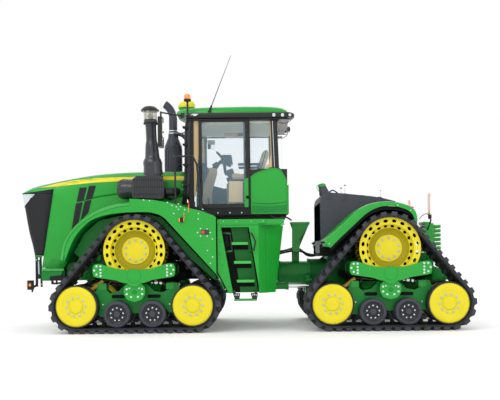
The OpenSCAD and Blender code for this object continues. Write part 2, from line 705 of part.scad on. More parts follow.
module articulation_hub() {
    color(dark_green) difference() {
        union() {
            rod_z(0, 0, 150, 756, 1154);
            block([0, -140, 800], [300, 140, 1110]);
            rod_x(0, roll_z, 200, 298, 842);
            rod_x(0, roll_z, 250, 840, 866);
            rod_x(0, roll_z, 120, 865, 1180);
            // ears for the steering rods
            for (s = [-1, 1]) {
                for (z = [[590, 628], [812, 850]]) {
                    block([780, s * 340 - 190, z[0]], [864, s * 340 + 190, z[1]]);
                    rod_z(cyl_rear[0] - 30, s * cyl_rear[1], 60, z[0], z[1]);
                }
                block([780, s * 230 - 60, 600], [864, s * 230 + 60, 900]);
            }
            // hose bracket on top of the tube
            slab(-14, 14) polygon([[555, 1140], [690, 1140], [690, 1400], [880, 1840], [530, 1840], [620, 1600], [555, 1400]]);
            block([530, -130, 1840], [880, 130, 1862]);
        }
        rod_z(0, 0, 60 + shaft_gap, 750, 1160);
    }
}

cyl_front = [-620, 500, 720];
cyl_rear = [870, 470, 720];
cyl_a = atan2(cyl_rear[1] - cyl_front[1], cyl_rear[0] - cyl_front[0]);
cyl_len = norm(cyl_rear - cyl_front);

module on_cylinder_axis() {
    translate(cyl_front) rotate([0, 0, cyl_a]) children();
}

module steering_cylinder() {
    color(green) on_cylinder_axis() difference() {
        union() {
            rod_x(0, 0, 55, 60, 1080);
            rod_x(0, 0, 64, 1040, 1090);
            rod_z(0, 0, 48, -36, 36);
            block([0, -30, -30], [80, 30, 30]);
        }
        rod_x(0, 0, 30 + shaft_gap, 500, 1100);
        rod_z(0, 0, 24 + shaft_gap, -40, 40);
    }
}

module steering_rod() {
    color(steel) on_cylinder_axis() difference() {
        union() {
            rod_x(0, 0, 30, 800, cyl_len - 30);
            rod_z(cyl_len, 0, 42, -26, 26);
        }
        rod_z(cyl_len, 0, 20, -30, 30);
    }
}

// ---------------------------------------------------------------- rear frame

module rear_chassis() {
    color(dark_green) difference() {
        union() {
            rod_x(0, roll_z, 240, 872, 1190);
            block([1180, -330, 720], [1600, 330, 1280]);
            for (s = [-1, 1]) block([1500, s * 330 - 60, 900], [2960, s * 330 + 60, 1200]);
            axle(rear_x);
            block([2700, -400, 900], [2960, 400, 1290]);
            // drawbar support and hitch box
            block([2500, -280, 560], [3060, 280, 600]);
            block([2500, -280, 690], [2800, 280, 901]);
            block([2500, -280, 599], [2560, 280, 691]);
            for (s = [-1, 1]) block([2940, s * 250 - 30, 599], [3060, s * 250 + 30, 901]);
            block([2955, -420, 900], [3060, 420, 1280]);
            for (s = [-1, 1]) slab(s * 380 - 25, s * 380 + 25) polygon([[3055, 760], [3240, 760], [3390, 880], [3320, 1000],
                [3055, 1000]]);
        }
        rod_x(0, roll_z, 120 + shaft_gap, 860, 1185);
    }
    // pivot pin of the drawbar
    color(steel) rod_z(drawbar_pivot_x, 0, 25, 599, 691);
}

module rear_saddles() {
    both_sides() translate([rear_x, -unit_y, 0]) saddle();
}

tank_side = [[1036, 1420], [1026, 1700], [1030, 2240], [1075, 2325], [1740, 2330], [2010, 2280], [2348, 2205], [2400, 2150],
    [2060, 2150], [1780, 2100], [1500, 1905], [1110, 1500], [1080, 1420]];

module fuel_tank() {
    color(grey) {
        slab(-740, 740) polygon(tank_side);
        // lower sump between the frame rails and the belts
        block([1036, -690, 1290], [1090, 690, 1421]);
        for (x = [1150, 1400, 1680, 1950]) block([x, -690, 2230], [x + 60, 690, 2352 - max(0, x - 1600) * 0.12]);
        translate([1110, -560, 2320]) cylinder(r1 = 95, r2 = 58, h = 150);
    }
    color(green) rod_z(1110, -560, 66, 2470, 2530);
}

rear_in = [[-1010, 35], [-509, 500], [-320, 640], [-130, 700], [171, 710], [340, 660], [440, 575], [468, 400]];

module rear_fenders() {
    color(green) both_sides() translate([rear_x, 0, axle_z]) {
        slab(-1450, -742) sheet(rear_in, 18);
        // deeper lip along the outer edge
        slab(-1450, -1425) sheet(rear_in, 62);
    }
}

module remote_valves() {
    color(green) {
        block([2962, -260, 1300], [3110, 260, 1820]);
        for (i = [0:5]) for (y = [-170, 0, 170]) rod_x(y, 1370 + i * 78, 27, 3109, 3250);
    }
    color(black) {
        for (s = [-1, 1]) {
            tube_rail([[3000, s * 230, 1700], [2960, s * 700, 1850], [2897, s * 880, 1900]], 14);
            block([2872, s * 900 - 30, 1870], [2922, s * 900 + 30, 1940]);
            block([2880, s * 900 - 90, 1939], [2914, s * 900 + 90, 2320]);
        }
    }
}

drawbar_pin_x = 3300;
drawbar_pivot_x = 2640;
drawbar_z = 645;

module drawbar() {
    color(green) difference() {
        union() {
            block([drawbar_pivot_x, -60, drawbar_z - drawbar_t / 2], [drawbar_pin_x, 60, drawbar_z + drawbar_t / 2]);
            rod_z(drawbar_pin_x, 0, 75, drawbar_z - drawbar_t / 2, drawbar_z + drawbar_t / 2);
            rod_z(drawbar_pivot_x, 0, 60, drawbar_z - drawbar_t / 2, drawbar_z + drawbar_t / 2);
        }
        rod_z(drawbar_pivot_x, 0, 25 + shaft_gap, 500, 800);
        rod_z(drawbar_pin_x, 0, drawbar_hole_r, 500, 800);
    }
}

// ---------------------------------------------------------------- assembly

// One undercarriage part by name, in the unit's own frame under its axle
module unit_part(p) {
    if (p == "drive_wheel") translate([0, 0, axle_z]) drive_wheel();
    if (p == "belt") belt();
    if (p == "track_frame") track_frame();
    if (p == "fore_idler") translate([-idler_reach, 0, idler_z]) idler();
    if (p == "aft_idler") translate([idler_reach, 0, idler_z]) idler();
    if (p == "fore_roller") translate([-roller_reach, 0, roller_z]) roller();
    if (p == "aft_roller") translate([roller_reach, 0, roller_z]) roller();
}

module unit_place(u) {
    x = u[0] == "f" ? front_x : rear_x;
    left = u == "front_left" || u == "rear_left";
    place() mirror([0, left ? 0 : 1, 0]) translate([x, -unit_y, 0]) children();
}

for (u = units) for (p = unit_parts)
    unit_place(u) unit_part(p);

place() front_chassis();
place() front_saddles();
place() engine();
place() front_fenders();
place() hood_shell();
place() hood_grille();
place() cab_frame();
place() cab_windows();
place() cab_panels();
place() cab_roof();
place() cab_door();
place() operator_seat();
place() control_console();
place() steering_wheel();
place() air_cleaner();
place() exhaust_stack();
place() roof_fittings();
place() platform_and_steps();
place() lower_step();
place() mirror_set();  // left_mirror
place() mirror([0, 1, 0]) mirror_set();  // right_mirror
place() articulation_hub();
place() mirror([0, 1, 0]) steering_cylinder();  // left_steering_cylinder
place() mirror([0, 1, 0]) steering_rod();  // left_steering_rod
place() steering_cylinder();  // right_steering_cylinder
place() steering_rod();  // right_steering_rod
place() rear_chassis();
place() rear_saddles();
place() fuel_tank();
place() rear_fenders();
place() remote_valves();
place() drawbar();
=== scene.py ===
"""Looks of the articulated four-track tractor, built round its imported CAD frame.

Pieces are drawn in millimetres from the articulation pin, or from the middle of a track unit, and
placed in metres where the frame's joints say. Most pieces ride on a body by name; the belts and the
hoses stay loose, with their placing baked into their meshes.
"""

import json
import math

import bmesh
import bpy
from mathutils import Euler, Matrix, Vector
from mathutils.geometry import tessellate_polygon


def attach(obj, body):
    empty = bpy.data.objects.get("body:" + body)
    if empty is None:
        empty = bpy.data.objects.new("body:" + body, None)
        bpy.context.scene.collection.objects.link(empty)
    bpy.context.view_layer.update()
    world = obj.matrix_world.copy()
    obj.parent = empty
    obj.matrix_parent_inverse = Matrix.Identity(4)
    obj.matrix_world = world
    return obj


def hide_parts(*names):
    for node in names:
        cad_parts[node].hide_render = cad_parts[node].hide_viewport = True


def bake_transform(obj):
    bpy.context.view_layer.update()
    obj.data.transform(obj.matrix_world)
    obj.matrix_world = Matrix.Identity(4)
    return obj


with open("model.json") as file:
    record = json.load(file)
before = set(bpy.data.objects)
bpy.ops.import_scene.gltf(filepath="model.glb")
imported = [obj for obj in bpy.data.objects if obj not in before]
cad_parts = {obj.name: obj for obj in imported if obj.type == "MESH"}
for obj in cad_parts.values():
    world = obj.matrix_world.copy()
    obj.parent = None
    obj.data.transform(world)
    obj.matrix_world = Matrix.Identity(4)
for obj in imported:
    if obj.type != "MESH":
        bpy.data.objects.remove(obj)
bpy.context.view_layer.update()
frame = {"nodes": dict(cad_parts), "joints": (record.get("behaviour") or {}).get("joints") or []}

JOINT_AT = {j["name"]: Vector(j["pos_m"]) for j in frame["joints"] if "pos_m" in j}
PIN = JOINT_AT["articulation_yaw"]
MM = 0.001


def row(x, y, z):
    """A point given in millimetres from the articulation pin, in the row's metres."""
    return Vector((PIN.x + x * MM, y * MM, z * MM))


# ------------------------------------------------------------------ materials


def linear(hexcode):
    """An sRGB colour such as "32a540" as a linear RGBA."""
    channels = [int(hexcode[i : i + 2], 16) / 255 for i in (0, 2, 4)]
    return [c / 12.92 if c <= 0.04045 else ((c + 0.055) / 1.055) ** 2.4 for c in channels] + [1.0]


def material(name, colour, rough=0.5, metal=0.0, coat=0.0, vary=0.0, bump=None, **more):
    """A Principled material. vary mottles the colour, bump is (texture, scale, strength)."""
    mat = bpy.data.materials.new(name)
    mat.use_nodes = True
    tree = mat.node_tree
    shader = tree.nodes["Principled BSDF"]
    rgba = linear(colour)
    shader.inputs["Base Color"].default_value = rgba
    shader.inputs["Roughness"].default_value = rough
    shader.inputs["Metallic"].default_value = metal
    shader.inputs["Coat Weight"].default_value = coat
    shader.inputs["Coat Roughness"].default_value = 0.08
    for socket, value in more.items():
        shader.inputs[socket.replace("_", " ")].default_value = value
    coord = tree.nodes.new("ShaderNodeTexCoord")
    if vary:
        noise = tree.nodes.new("ShaderNodeTexNoise")
        noise.inputs["Scale"].default_value = 3.5
        noise.inputs["Detail"].default_value = 6
        ramp = tree.nodes.new("ShaderNodeValToRGB")
        ramp.color_ramp.elements[0].position = 0.3
        ramp.color_ramp.elements[1].position = 0.75
        ramp.color_ramp.elements[0].color = [c * (1 - vary) for c in rgba[:3]] + [1]
        ramp.color_ramp.elements[1].color = [min(1, c * (1 + vary) + vary * 0.01) for c in rgba[:3]] + [1]
        tree.links.new(coord.outputs["Object"], noise.inputs["Vector"])
        tree.links.new(noise.outputs["Fac"], ramp.inputs["Fac"])
        tree.links.new(ramp.outputs["Color"], shader.inputs["Base Color"])
        wear = tree.nodes.new("ShaderNodeMapRange")
        wear.inputs["To Min"].default_value = max(0.02, rough - 0.08)
        wear.inputs["To Max"].default_value = rough + 0.1
        tree.links.new(noise.outputs["Fac"], wear.inputs["Value"])
        tree.links.new(wear.outputs["Result"], shader.inputs["Roughness"])
    if bump:
        kind, scale, strength = bump
        if kind == "cells":
            texture = tree.nodes.new("ShaderNodeTexVoronoi")
            out = texture.outputs["Distance"]
        else:
            texture = tree.nodes.new("ShaderNodeTexNoise")
            texture.inputs["Detail"].default_value = 4
            out = texture.outputs["Fac"]
        texture.inputs["Scale"].default_value = scale
        lift = tree.nodes.new("ShaderNodeBump")
        lift.inputs["Strength"].default_value = strength
        lift.inputs["Distance"].default_value = 0.002
        tree.links.new(coord.outputs["Object"], texture.inputs["Vector"])
        tree.links.new(out, lift.inputs["Height"])
        tree.links.new(lift.outputs["Normal"], shader.inputs["Normal"])
    return mat


# names, sRGB colours and roughness; noise and cells are the bump textures' kinds
GREEN = material("green", "1c9b30", 0.34, coat=0.22, vary=0.03, bump=("noise", 60, 0.02),
    Specular_IOR_Level=0.3)
SHADE = material("shade", "0d8631", 0.4, coat=0.1, vary=0.05, bump=("noise", 60, 0.05),
    Specular_IOR_Level=0.25)
# deep: a darker green for parts under the body and in hollows, a painted shade
DEEP_SHADE = material("deep", "096828", 0.5, vary=0.1, bump=("noise", 40, 0.12), Specular_IOR_Level=0.2)
YELLOW = material("yellow", "e0d010", 0.3, coat=0.25, vary=0.03, bump=("noise", 60, 0.02),
    Specular_IOR_Level=0.3)
RUBBER = material("rubber", "27292d", 0.66, vary=0.16, bump=("noise", 220, 0.5), Specular_IOR_Level=0.3)
TYRE = material("tyre", "2c2e33", 0.62, vary=0.12, bump=("noise", 260, 0.4), Specular_IOR_Level=0.3)
HOSE = material("hose", "1b1c1f", 0.5, bump=("noise", 400, 0.3))
BLACK = material("black", "17181b", 0.34, coat=0.15, vary=0.05, bump=("noise", 300, 0.08),
    Specular_IOR_Level=0.35)
MATT = material("matt", "1a1b1e", 0.62, vary=0.06, bump=("noise", 500, 0.3), Specular_IOR_Level=0.3)
MESH = material("mesh", "1b1c20", 0.55, bump=("cells", 130, 1.0), Specular_IOR_Level=0.3)
INTAKE = material("intake", "2a2c31", 0.3, coat=0.35, vary=0.08, bump=("noise", 300, 0.1),
    Specular_IOR_Level=0.4)
STACK = material("stack", "3a3d48", 0.34, metal=0.4, vary=0.12, bump=("noise", 90, 0.06))
TANK = material("tank", "3e4049", 0.5, vary=0.06, bump=("noise", 420, 0.35), Specular_IOR_Level=0.35)
ZINC = material("zinc", "dfe3e6", 0.28, metal=0.85, vary=0.05)
CHROME = material("chrome", "e6e8ea", 0.08, metal=1.0)
MIRROR = material("mirror", "f2f5f7", 0.02, metal=1.0)
GLASS = material("glass", "bfe2f6", 0.03, Alpha=0.1, coat=0.2)
BOWL = material("bowl", "c9c6b4", 0.06, Alpha=0.45, coat=0.5)
LENS = material("lens", "c6ced4", 0.08, coat=1.0, bump=("cells", 90, 0.35))
AMBER = material("amber", "f58a12", 0.12, coat=1.0, bump=("cells", 110, 0.3))
RED = material("red", "d81f1a", 0.14, coat=1.0, bump=("cells", 110, 0.3))
BEIGE = material("beige", "c2a878", 0.55, vary=0.05, bump=("noise", 500, 0.35))
LINER = material("liner", "d8cfb4", 0.8, vary=0.04, bump=("noise", 800, 0.4))
LEATHER = material("leather", "c9b184", 0.5, vary=0.06, bump=("cells", 500, 0.25))
SCREEN = material("screen", "10151a", 0.08, coat=0.8)
WHITE = material("white", "f4f4f2", 0.4)
# dusk: a darker yellow for the hollow of the wheel dish, a painted shade
SHADED_YELLOW = material("shaded_yellow", "a3960c", 0.5, vary=0.05, bump=("noise", 60, 0.05), Specular_IOR_Level=0.2)
STEEL = material("steel", "b6c6c8", 0.3, metal=0.4, vary=0.1)
OLIVE = material("olive", "3c4a2c", 0.6, vary=0.08, bump=("noise", 300, 0.3))
# lit green: a lighter green for lit edges, tread lips and crease lines, a painted highlight
LIT_GREEN = material("lit_green", "2fae42", 0.3, coat=0.3, vary=0.03, bump=("noise", 60, 0.02))
# pitch: near black, put behind openings, under ledges and in cavities where only shade falls, a painted
# shade
SHADOW_BLACK = material("pitch", "0a120d", 0.6, vary=0.2, bump=("noise", 30, 0.2), Specular_IOR_Level=0.15)
# tread: a lighter grey for the belt's lugs, a painted highlight on their faces
LUG_HIGHLIGHT = material("tread", "3a3c43", 0.7, vary=0.22, bump=("noise", 160, 0.5), Specular_IOR_Level=0.3)
OCHRE = material("ochre", "b08a14", 0.4, coat=0.3, vary=0.12)
COPPER = material("line", "5a4a3a", 0.45, metal=0.3, vary=0.1)
FLOOR = material("floor", "f6f6f6", 0.9, Emission_Color=(1, 1, 1, 1), Emission_Strength=0.1)

# ------------------------------------------------------------------ shapes

AXES = {"x": (1, 2, 0), "y": (0, 2, 1), "z": (0, 1, 2)}


def spot(axis, u, v, along):
    """A point from two coordinates in the plane across an axis and one along it."""
    point = [0.0, 0.0, 0.0]
    first, second, third = AXES[axis]
    point[first], point[second], point[third] = u, v, along
    return Vector(point)


def turns(n, extra=0):
    """Angles in radians that go once round in n equal steps."""
    return [2 * math.pi * k / n for k in range(n + extra)]


def slab(x0, z0, x1, z1, r):
    """A rectangle between two opposite corners, with its corners rounded."""
    return rounded([(x0, z0), (x1, z0), (x1, z1), (x0, z1)], r)


def arc(cx, cz, r, a0, a1, n=12):
    """Points on part of a circle, angles in degrees."""
    steps = [math.radians(a0 + (a1 - a0) * i / n) for i in range(n + 1)]
    return [(cx + r * math.cos(a), cz + r * math.sin(a)) for a in steps]


def oval(cx, cz, across, up, turn=0.0, n=16):
    """An ellipse of that size, turned by an angle in degrees."""
    t = math.radians(turn)
    points = []
    for a in turns(n):
        u, v = across / 2 * math.cos(a), up / 2 * math.sin(a)
        points.append((cx + u * math.cos(t) - v * math.sin(t), cz + u * math.sin(t) + v * math.cos(t)))
    return points


def race(cx, cz, length, width, n=8):
    """A slot with round ends, lying along the first axis."""
    reach = (length - width) / 2
    return arc(cx + reach, cz, width / 2, -90, 90, n) + arc(cx - reach, cz, width / 2, 90, 270, n)


def rounded(points, r, n=4):
    """A closed outline with its corners rounded to radius r, or less where the sides are short."""
    out = []
    for i, here in enumerate(points):
        p, a, b = Vector(here), Vector(points[i - 1]), Vector(points[(i + 1) % len(points)])
        to_a, to_b = a - p, b - p
        if to_a.length < 1e-6 or to_b.length < 1e-6:
            continue
        half = to_a.angle(to_b) / 2
        if half > math.radians(86):
            out.append(tuple(p))
            continue
        cut = min(r / math.tan(half), to_a.length * 0.45, to_b.length * 0.45)
        start, end = p + to_a.normalized() * cut, p + to_b.normalized() * cut
        for k in range(n + 1):
            t = k / n
            out.append(tuple((1 - t) ** 2 * start + 2 * t * (1 - t) * p + t * t * end))
    return out


def lifted(points, t):
    """An open line of points moved sideways by t, to the left of its direction."""
    out = []
    for i, here in enumerate(points):
        a, b = Vector(points[max(0, i - 1)]), Vector(points[min(len(points) - 1, i + 1)])
        d = (b - a).normalized()
        out.append((here[0] - d.y * t, here[1] + d.x * t))
    return out


def smooth_line(points, step):
    """A Catmull-Rom line through the points, of any dimension, with about that spacing."""
    pts = [Vector(p) for p in points]
    ends = [pts[0] * 2 - pts[1]] + pts + [pts[-1] * 2 - pts[-2]]
    out = []
    for i in range(1, len(ends) - 2):
        a, b, c, d = ends[i - 1 : i + 3]
        n = max(1, round((c - b).length / step))
        for k in range(n):
            t = k / n
            square, cube = 2 * a - 5 * b + 4 * c - d, 3 * b - a - 3 * c + d
            out.append(0.5 * (2 * b + (c - a) * t + square * t * t + cube * t**3))
    return out + [pts[-1]]


def flat_line(points, step=40):
    """The same smooth line for points in a plane, as plain pairs."""
    return [(p.x, p.y) for p in smooth_line(points, step)]


def bent(points, r, n=5):
    """A line of points in space with its corners rounded."""
    pts = [Vector(p) for p in points]
    out = [pts[0]]
    for i in range(1, len(pts) - 1):
        to_a, to_b = pts[i - 1] - pts[i], pts[i + 1] - pts[i]
        cut = min(r, to_a.length * 0.45, to_b.length * 0.45)
        start, end = pts[i] + to_a.normalized() * cut, pts[i] + to_b.normalized() * cut
        for k in range(n + 1):
            t = k / n
            out.append((1 - t) ** 2 * start + 2 * t * (1 - t) * pts[i] + t * t * end)
    return out + [pts[-1]]


class Piece:
    """One object under construction: simple shapes in millimetres, each with a material."""

    def __init__(self, name, flip=False):
        self.name, self.flip = name, flip
        self.points, self.faces, self.face_mats, self.mats = [], [], [], []

    def add(self, points, faces, mat):
        """Takes in points and the faces over them, all of one material."""
        base = len(self.points)
        self.points += [Vector(p) for p in points]
        if mat not in self.mats:
            self.mats.append(mat)
        self.faces += [[base + i for i in face] for face in faces]
        self.face_mats += [self.mats.index(mat)] * len(faces)

    def prism(self, outline, a, b, mat, axis="y", holes=()):
        """An outline made solid between two places on an axis, with holes right through."""
        loops = [list(outline)] + [list(h) for h in holes]
        flat = [p for loop in loops for p in loop]
        n = len(flat)
        points = [spot(axis, u, v, a) for u, v in flat] + [spot(axis, u, v, b) for u, v in flat]
        if holes:
            caps = tessellate_polygon([[Vector((u, v, 0)) for u, v in loop] for loop in loops])
        else:
            caps = [list(range(n))]
        faces = [list(c) for c in caps] + [[i + n for i in reversed(c)] for c in caps]
        first = 0
        for loop in loops:
            m = len(loop)
            for i in range(m):
                p, q = first + i, first + (i + 1) % m
                faces.append([p, q, q + n, p + n])
            first += m
        self.add(points, faces, mat)

    def box(self, lo, hi, mat):
        """A plain bar between two opposite corners, for grips, posts and trim."""
        self.prism([(lo[0], lo[1]), (hi[0], lo[1]), (hi[0], hi[1]), (lo[0], hi[1])], lo[2], hi[2], mat,
            "z")

    def strip(self, line, t, a, b, mat, axis="y"):
        """A sheet of thickness t laid on a line, between two places on an axis."""
        self.prism(list(line) + lifted(line, t)[::-1], a, b, mat, axis)

    def lathe(self, profile, centre, mat, axis="y", n=48):
        """A profile of (radius, along) turned about an axis through a centre."""
        c = Vector(centre)
        points, rings = [], []
        for r, t in profile:
            if r < 1e-6:
                rings.append([len(points)])
                points.append(c + spot(axis, 0, 0, t))
                continue
            rings.append(list(range(len(points), len(points) + n)))
            points += [c + spot(axis, r * math.cos(a), r * math.sin(a), t) for a in turns(n)]
        faces = []
        for lower, upper in zip(rings, rings[1:]):
            for k in range(n):
                j = (k + 1) % n
                if len(lower) == 1 and len(upper) == 1:
                    continue
                if len(lower) == 1:
                    faces.append([lower[0], upper[j], upper[k]])
                elif len(upper) == 1:
                    faces.append([lower[k], lower[j], upper[0]])
                else:
                    faces.append([lower[k], lower[j], upper[j], upper[k]])
        self.add(points, faces, mat)

    def rod(self, a, b, r, mat, n=20):
        """A round bar from a to b with flat ends."""
        self.tube([a, b], r, mat, n)

    def tube(self, line, r, mat, n=12, bend=0.0):
        """A round tube along a line of points. r is one radius or one for each point."""
        pts = bent(line, bend) if bend else [Vector(p) for p in line]
        radii = r if isinstance(r, (list, tuple)) else [r] * len(pts)
        heading = (pts[1] - pts[0]).normalized()
        side = heading.orthogonal().normalized()
        points = []
        for i, p in enumerate(pts):
            d = (pts[min(i + 1, len(pts) - 1)] - pts[max(i - 1, 0)]).normalized()
            side = (side - d * side.dot(d)).normalized()
            up = d.cross(side)
            for a in turns(n):
                points.append(p + (side * math.cos(a) + up * math.sin(a)) * radii[i])
        faces = [[i * n + k, i * n + (k + 1) % n, (i + 1) * n + (k + 1) % n, (i + 1) * n + k]
            for i in range(len(pts) - 1) for k in range(n)]
        faces += [list(range(n)), list(range((len(pts) - 1) * n, len(pts) * n))]
        self.add(points, faces, mat)

    def bolt(self, centre, r, h, mat=None, axis="y", out=-1):
        """A hexagon head on a washer, standing out along an axis."""
        mat = mat or ZINC
        head = [(0, h), (r * 0.8, h), (r, h * 0.8), (r, h * 0.2)]
        washer = [(r * 1.3, h * 0.25), (r * 1.3, 0)]
        self.lathe([(a, out * t) for a, t in head], centre, mat, axis, 6)
        self.lathe([(0, out * h * 0.25)] + [(a, out * t) for a, t in washer], centre, mat, axis, 16)

    def bolt_ring(self, count, r, y, first, size, tall, mat=None, out=-1):
        """Bolts in a ring about the Y axis, the first of them at an angle in degrees."""
        for k in range(count):
            a = math.radians(k * (360 // count) + first)
            self.bolt((r * math.cos(a), y, r * math.sin(a)), size, tall, mat, out=out)

    def louvres(self, vent, count, y0, y1, mat):
        """Thin bars across a four-cornered vent, from its first side down to its last."""
        for k in range(1, count):
            t = k / count
            a = [vent[0][i] + (vent[3][i] - vent[0][i]) * t for i in (0, 1)]
            b = [vent[1][i] + (vent[2][i] - vent[1][i]) * t for i in (0, 1)]
            bar = [(a[0] + 6, a[1] - 5), (b[0] - 6, b[1] - 5), (b[0] - 6, b[1] + 5), (a[0] + 6, a[1] + 5)]
            self.prism(bar, y0, y1, mat)

    def skin(self, rows, mat, wrap=False, caps=False):
        """A surface over rows of points, closed round each row if wrap, and over the end rows if caps."""
        n = len(rows[0])
        points = [p for r in rows for p in r]
        last = n if wrap else n - 1
        faces = [[i * n + k, i * n + (k + 1) % n, (i + 1) * n + (k + 1) % n, (i + 1) * n + k]
            for i in range(len(rows) - 1) for k in range(last)]
        if caps:
            faces += [list(range(n)), list(range((len(rows) - 1) * n, len(rows) * n))]
        self.add(points, faces, mat)

    def mirror(self, since=0, face_since=0):
        """Repeats what was added since a mark on the other side of Y = 0."""
        base = len(self.points) - since
        self.points += [Vector((p.x, -p.y, p.z)) for p in self.points[since:]]
        self.faces += [[i + base for i in reversed(f)] for f in self.faces[face_since:]]
        self.face_mats += self.face_mats[face_since:]

    def mark(self):
        """How much there is so far, for mirror()."""
        return len(self.points), len(self.faces)

    def plate(self, outline, r, a, b, mat, axis="y", holes=()):
        """A prism over an outline with its corners rounded to radius r."""
        self.prism(rounded(outline, r), a, b, mat, axis, holes)

    def build(self, body, at=None, edge=3.0, sharp=38, stands_for=(), slot=None, thick=0.0, parent=True):
        """Makes the object, with edge millimetres of rounding, and lets it ride on a body."""
        mesh = bpy.data.meshes.new(self.name)
        sign = -1 if self.flip else 1
        mesh.from_pydata([(p.x * MM, p.y * MM * sign, p.z * MM) for p in self.points], [], self.faces)
        for mat in self.mats:
            mesh.materials.append(mat)
        mesh.polygons.foreach_set("material_index", self.face_mats)
        bm = bmesh.new()
        bm.from_mesh(mesh)
        bmesh.ops.recalc_face_normals(bm, faces=bm.faces)
        bm.to_mesh(mesh)
        bm.free()
        mesh.shade_smooth()
        mesh.set_sharp_from_angle(angle=math.radians(sharp))
        obj = bpy.data.objects.new(self.name, mesh)
        bpy.context.collection.objects.link(obj)
        obj.location = row(0, 0, 0) if at is None else at
        if thick:
            shell = obj.modifiers.new("thickness", "SOLIDIFY")
            shell.thickness = thick * MM
            shell.offset = -1
        if edge:
            bevel = obj.modifiers.new("edges", "BEVEL")
            bevel.width = edge * MM
            bevel.segments = 2
            bevel.limit_method = "ANGLE"
            bevel.angle_limit = math.radians(sharp)
            obj.modifiers.new("normals", "WEIGHTED_NORMAL").keep_sharp = True
        return dress(obj, body, stands_for) if parent else obj


def dress(obj, body, stands_for=()):
    """Rides a finished object on its body, in place of the CAD nodes it stands for."""
    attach(obj, body)
    if stands_for:
        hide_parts(*([stands_for] if isinstance(stands_for, str) else stands_for))
    return obj


def twin(obj, name, at, body, stands_for=()):
    """A second object on the same mesh, in another place."""
    other = obj.copy()
    other.parent = None
    other.name = name
    for key in list(other.keys()):
        del other[key]
    bpy.context.collection.objects.link(other)
    other.matrix_world = Matrix.Translation(at)
    return dress(other, body, stands_for)


def paint(node, mat):
    """Gives a CAD node its finish, with its edges left as they are."""
    mesh = frame["nodes"][node].data
    mesh.materials.clear()
    mesh.materials.append(mat)

# ------------------------------------------------------------------ track units

DRIVE_R, IDLER_R = 511.5, 357.0
BELT_HALF, CARCASS, LUG, GUIDE = 381.0, 33.0, 60.0, 72.0
LUGS, GAP = 44, 2.0
UNITS = ("front_left", "front_right", "rear_left", "rear_right")
AXLE_Z = JOINT_AT["front_left_drive_spin"].z * 1000
IDLER_X = abs(JOINT_AT["front_left_aft_idler_spin"].x - JOINT_AT["front_left_drive_spin"].x) * 1000
IDLER_Z = JOINT_AT["front_left_aft_idler_spin"].z * 1000
ROLLER_X = abs(JOINT_AT["front_left_aft_roller_spin"].x - JOINT_AT["front_left_drive_spin"].x) * 1000
ROLLER_Z = JOINT_AT["front_left_aft_roller_spin"].z * 1000
PIVOT_Z = JOINT_AT["front_left_track_pitch"].z * 1000


def unit_at(unit):
    """The point on the ground under a unit's axle."""
    axle = JOINT_AT[unit + "_drive_spin"]
    return Vector((axle.x, axle.y, 0))


def belt_path():
    """A function for the point and outward normal on the belt's inner face, and its length."""
    rd, ri = DRIVE_R + GAP, IDLER_R + GAP
    rise = IDLER_Z - AXLE_Z
    reach = math.hypot(IDLER_X, rise)
    lean = math.atan2(rise, IDLER_X) + math.acos((rd - ri) / reach)
    straight = math.sqrt(reach**2 - (rd - ri) ** 2)
    s1 = rd * (math.pi / 2 - lean)
    s2 = s1 + straight
    s3 = s2 + ri * (lean + math.pi / 2)
    half = s3 + IDLER_X

    def at(s):
        s %= 2 * half
        side = 1
        if s > half:
            s, side = 2 * half - s, -1
        if s < s1:
            a = math.pi / 2 - s / rd
            x, z, nx, nz = rd * math.cos(a), AXLE_Z + rd * math.sin(a), math.cos(a), math.sin(a)
        elif s < s2:
            t, nx, nz = s - s1, math.cos(lean), math.sin(lean)
            x, z = rd * nx + t * nz, AXLE_Z + rd * nz - t * nx
        elif s < s3:
            a = lean - (s - s2) / ri
            nx, nz = math.cos(a), math.sin(a)
            x, z = IDLER_X + ri * nx, IDLER_Z + ri * nz
        else:
            x, z, nx, nz = IDLER_X - (s - s3), IDLER_Z - ri, 0, -1
        return side * x, z, side * nx, nz

    return at, 2 * half


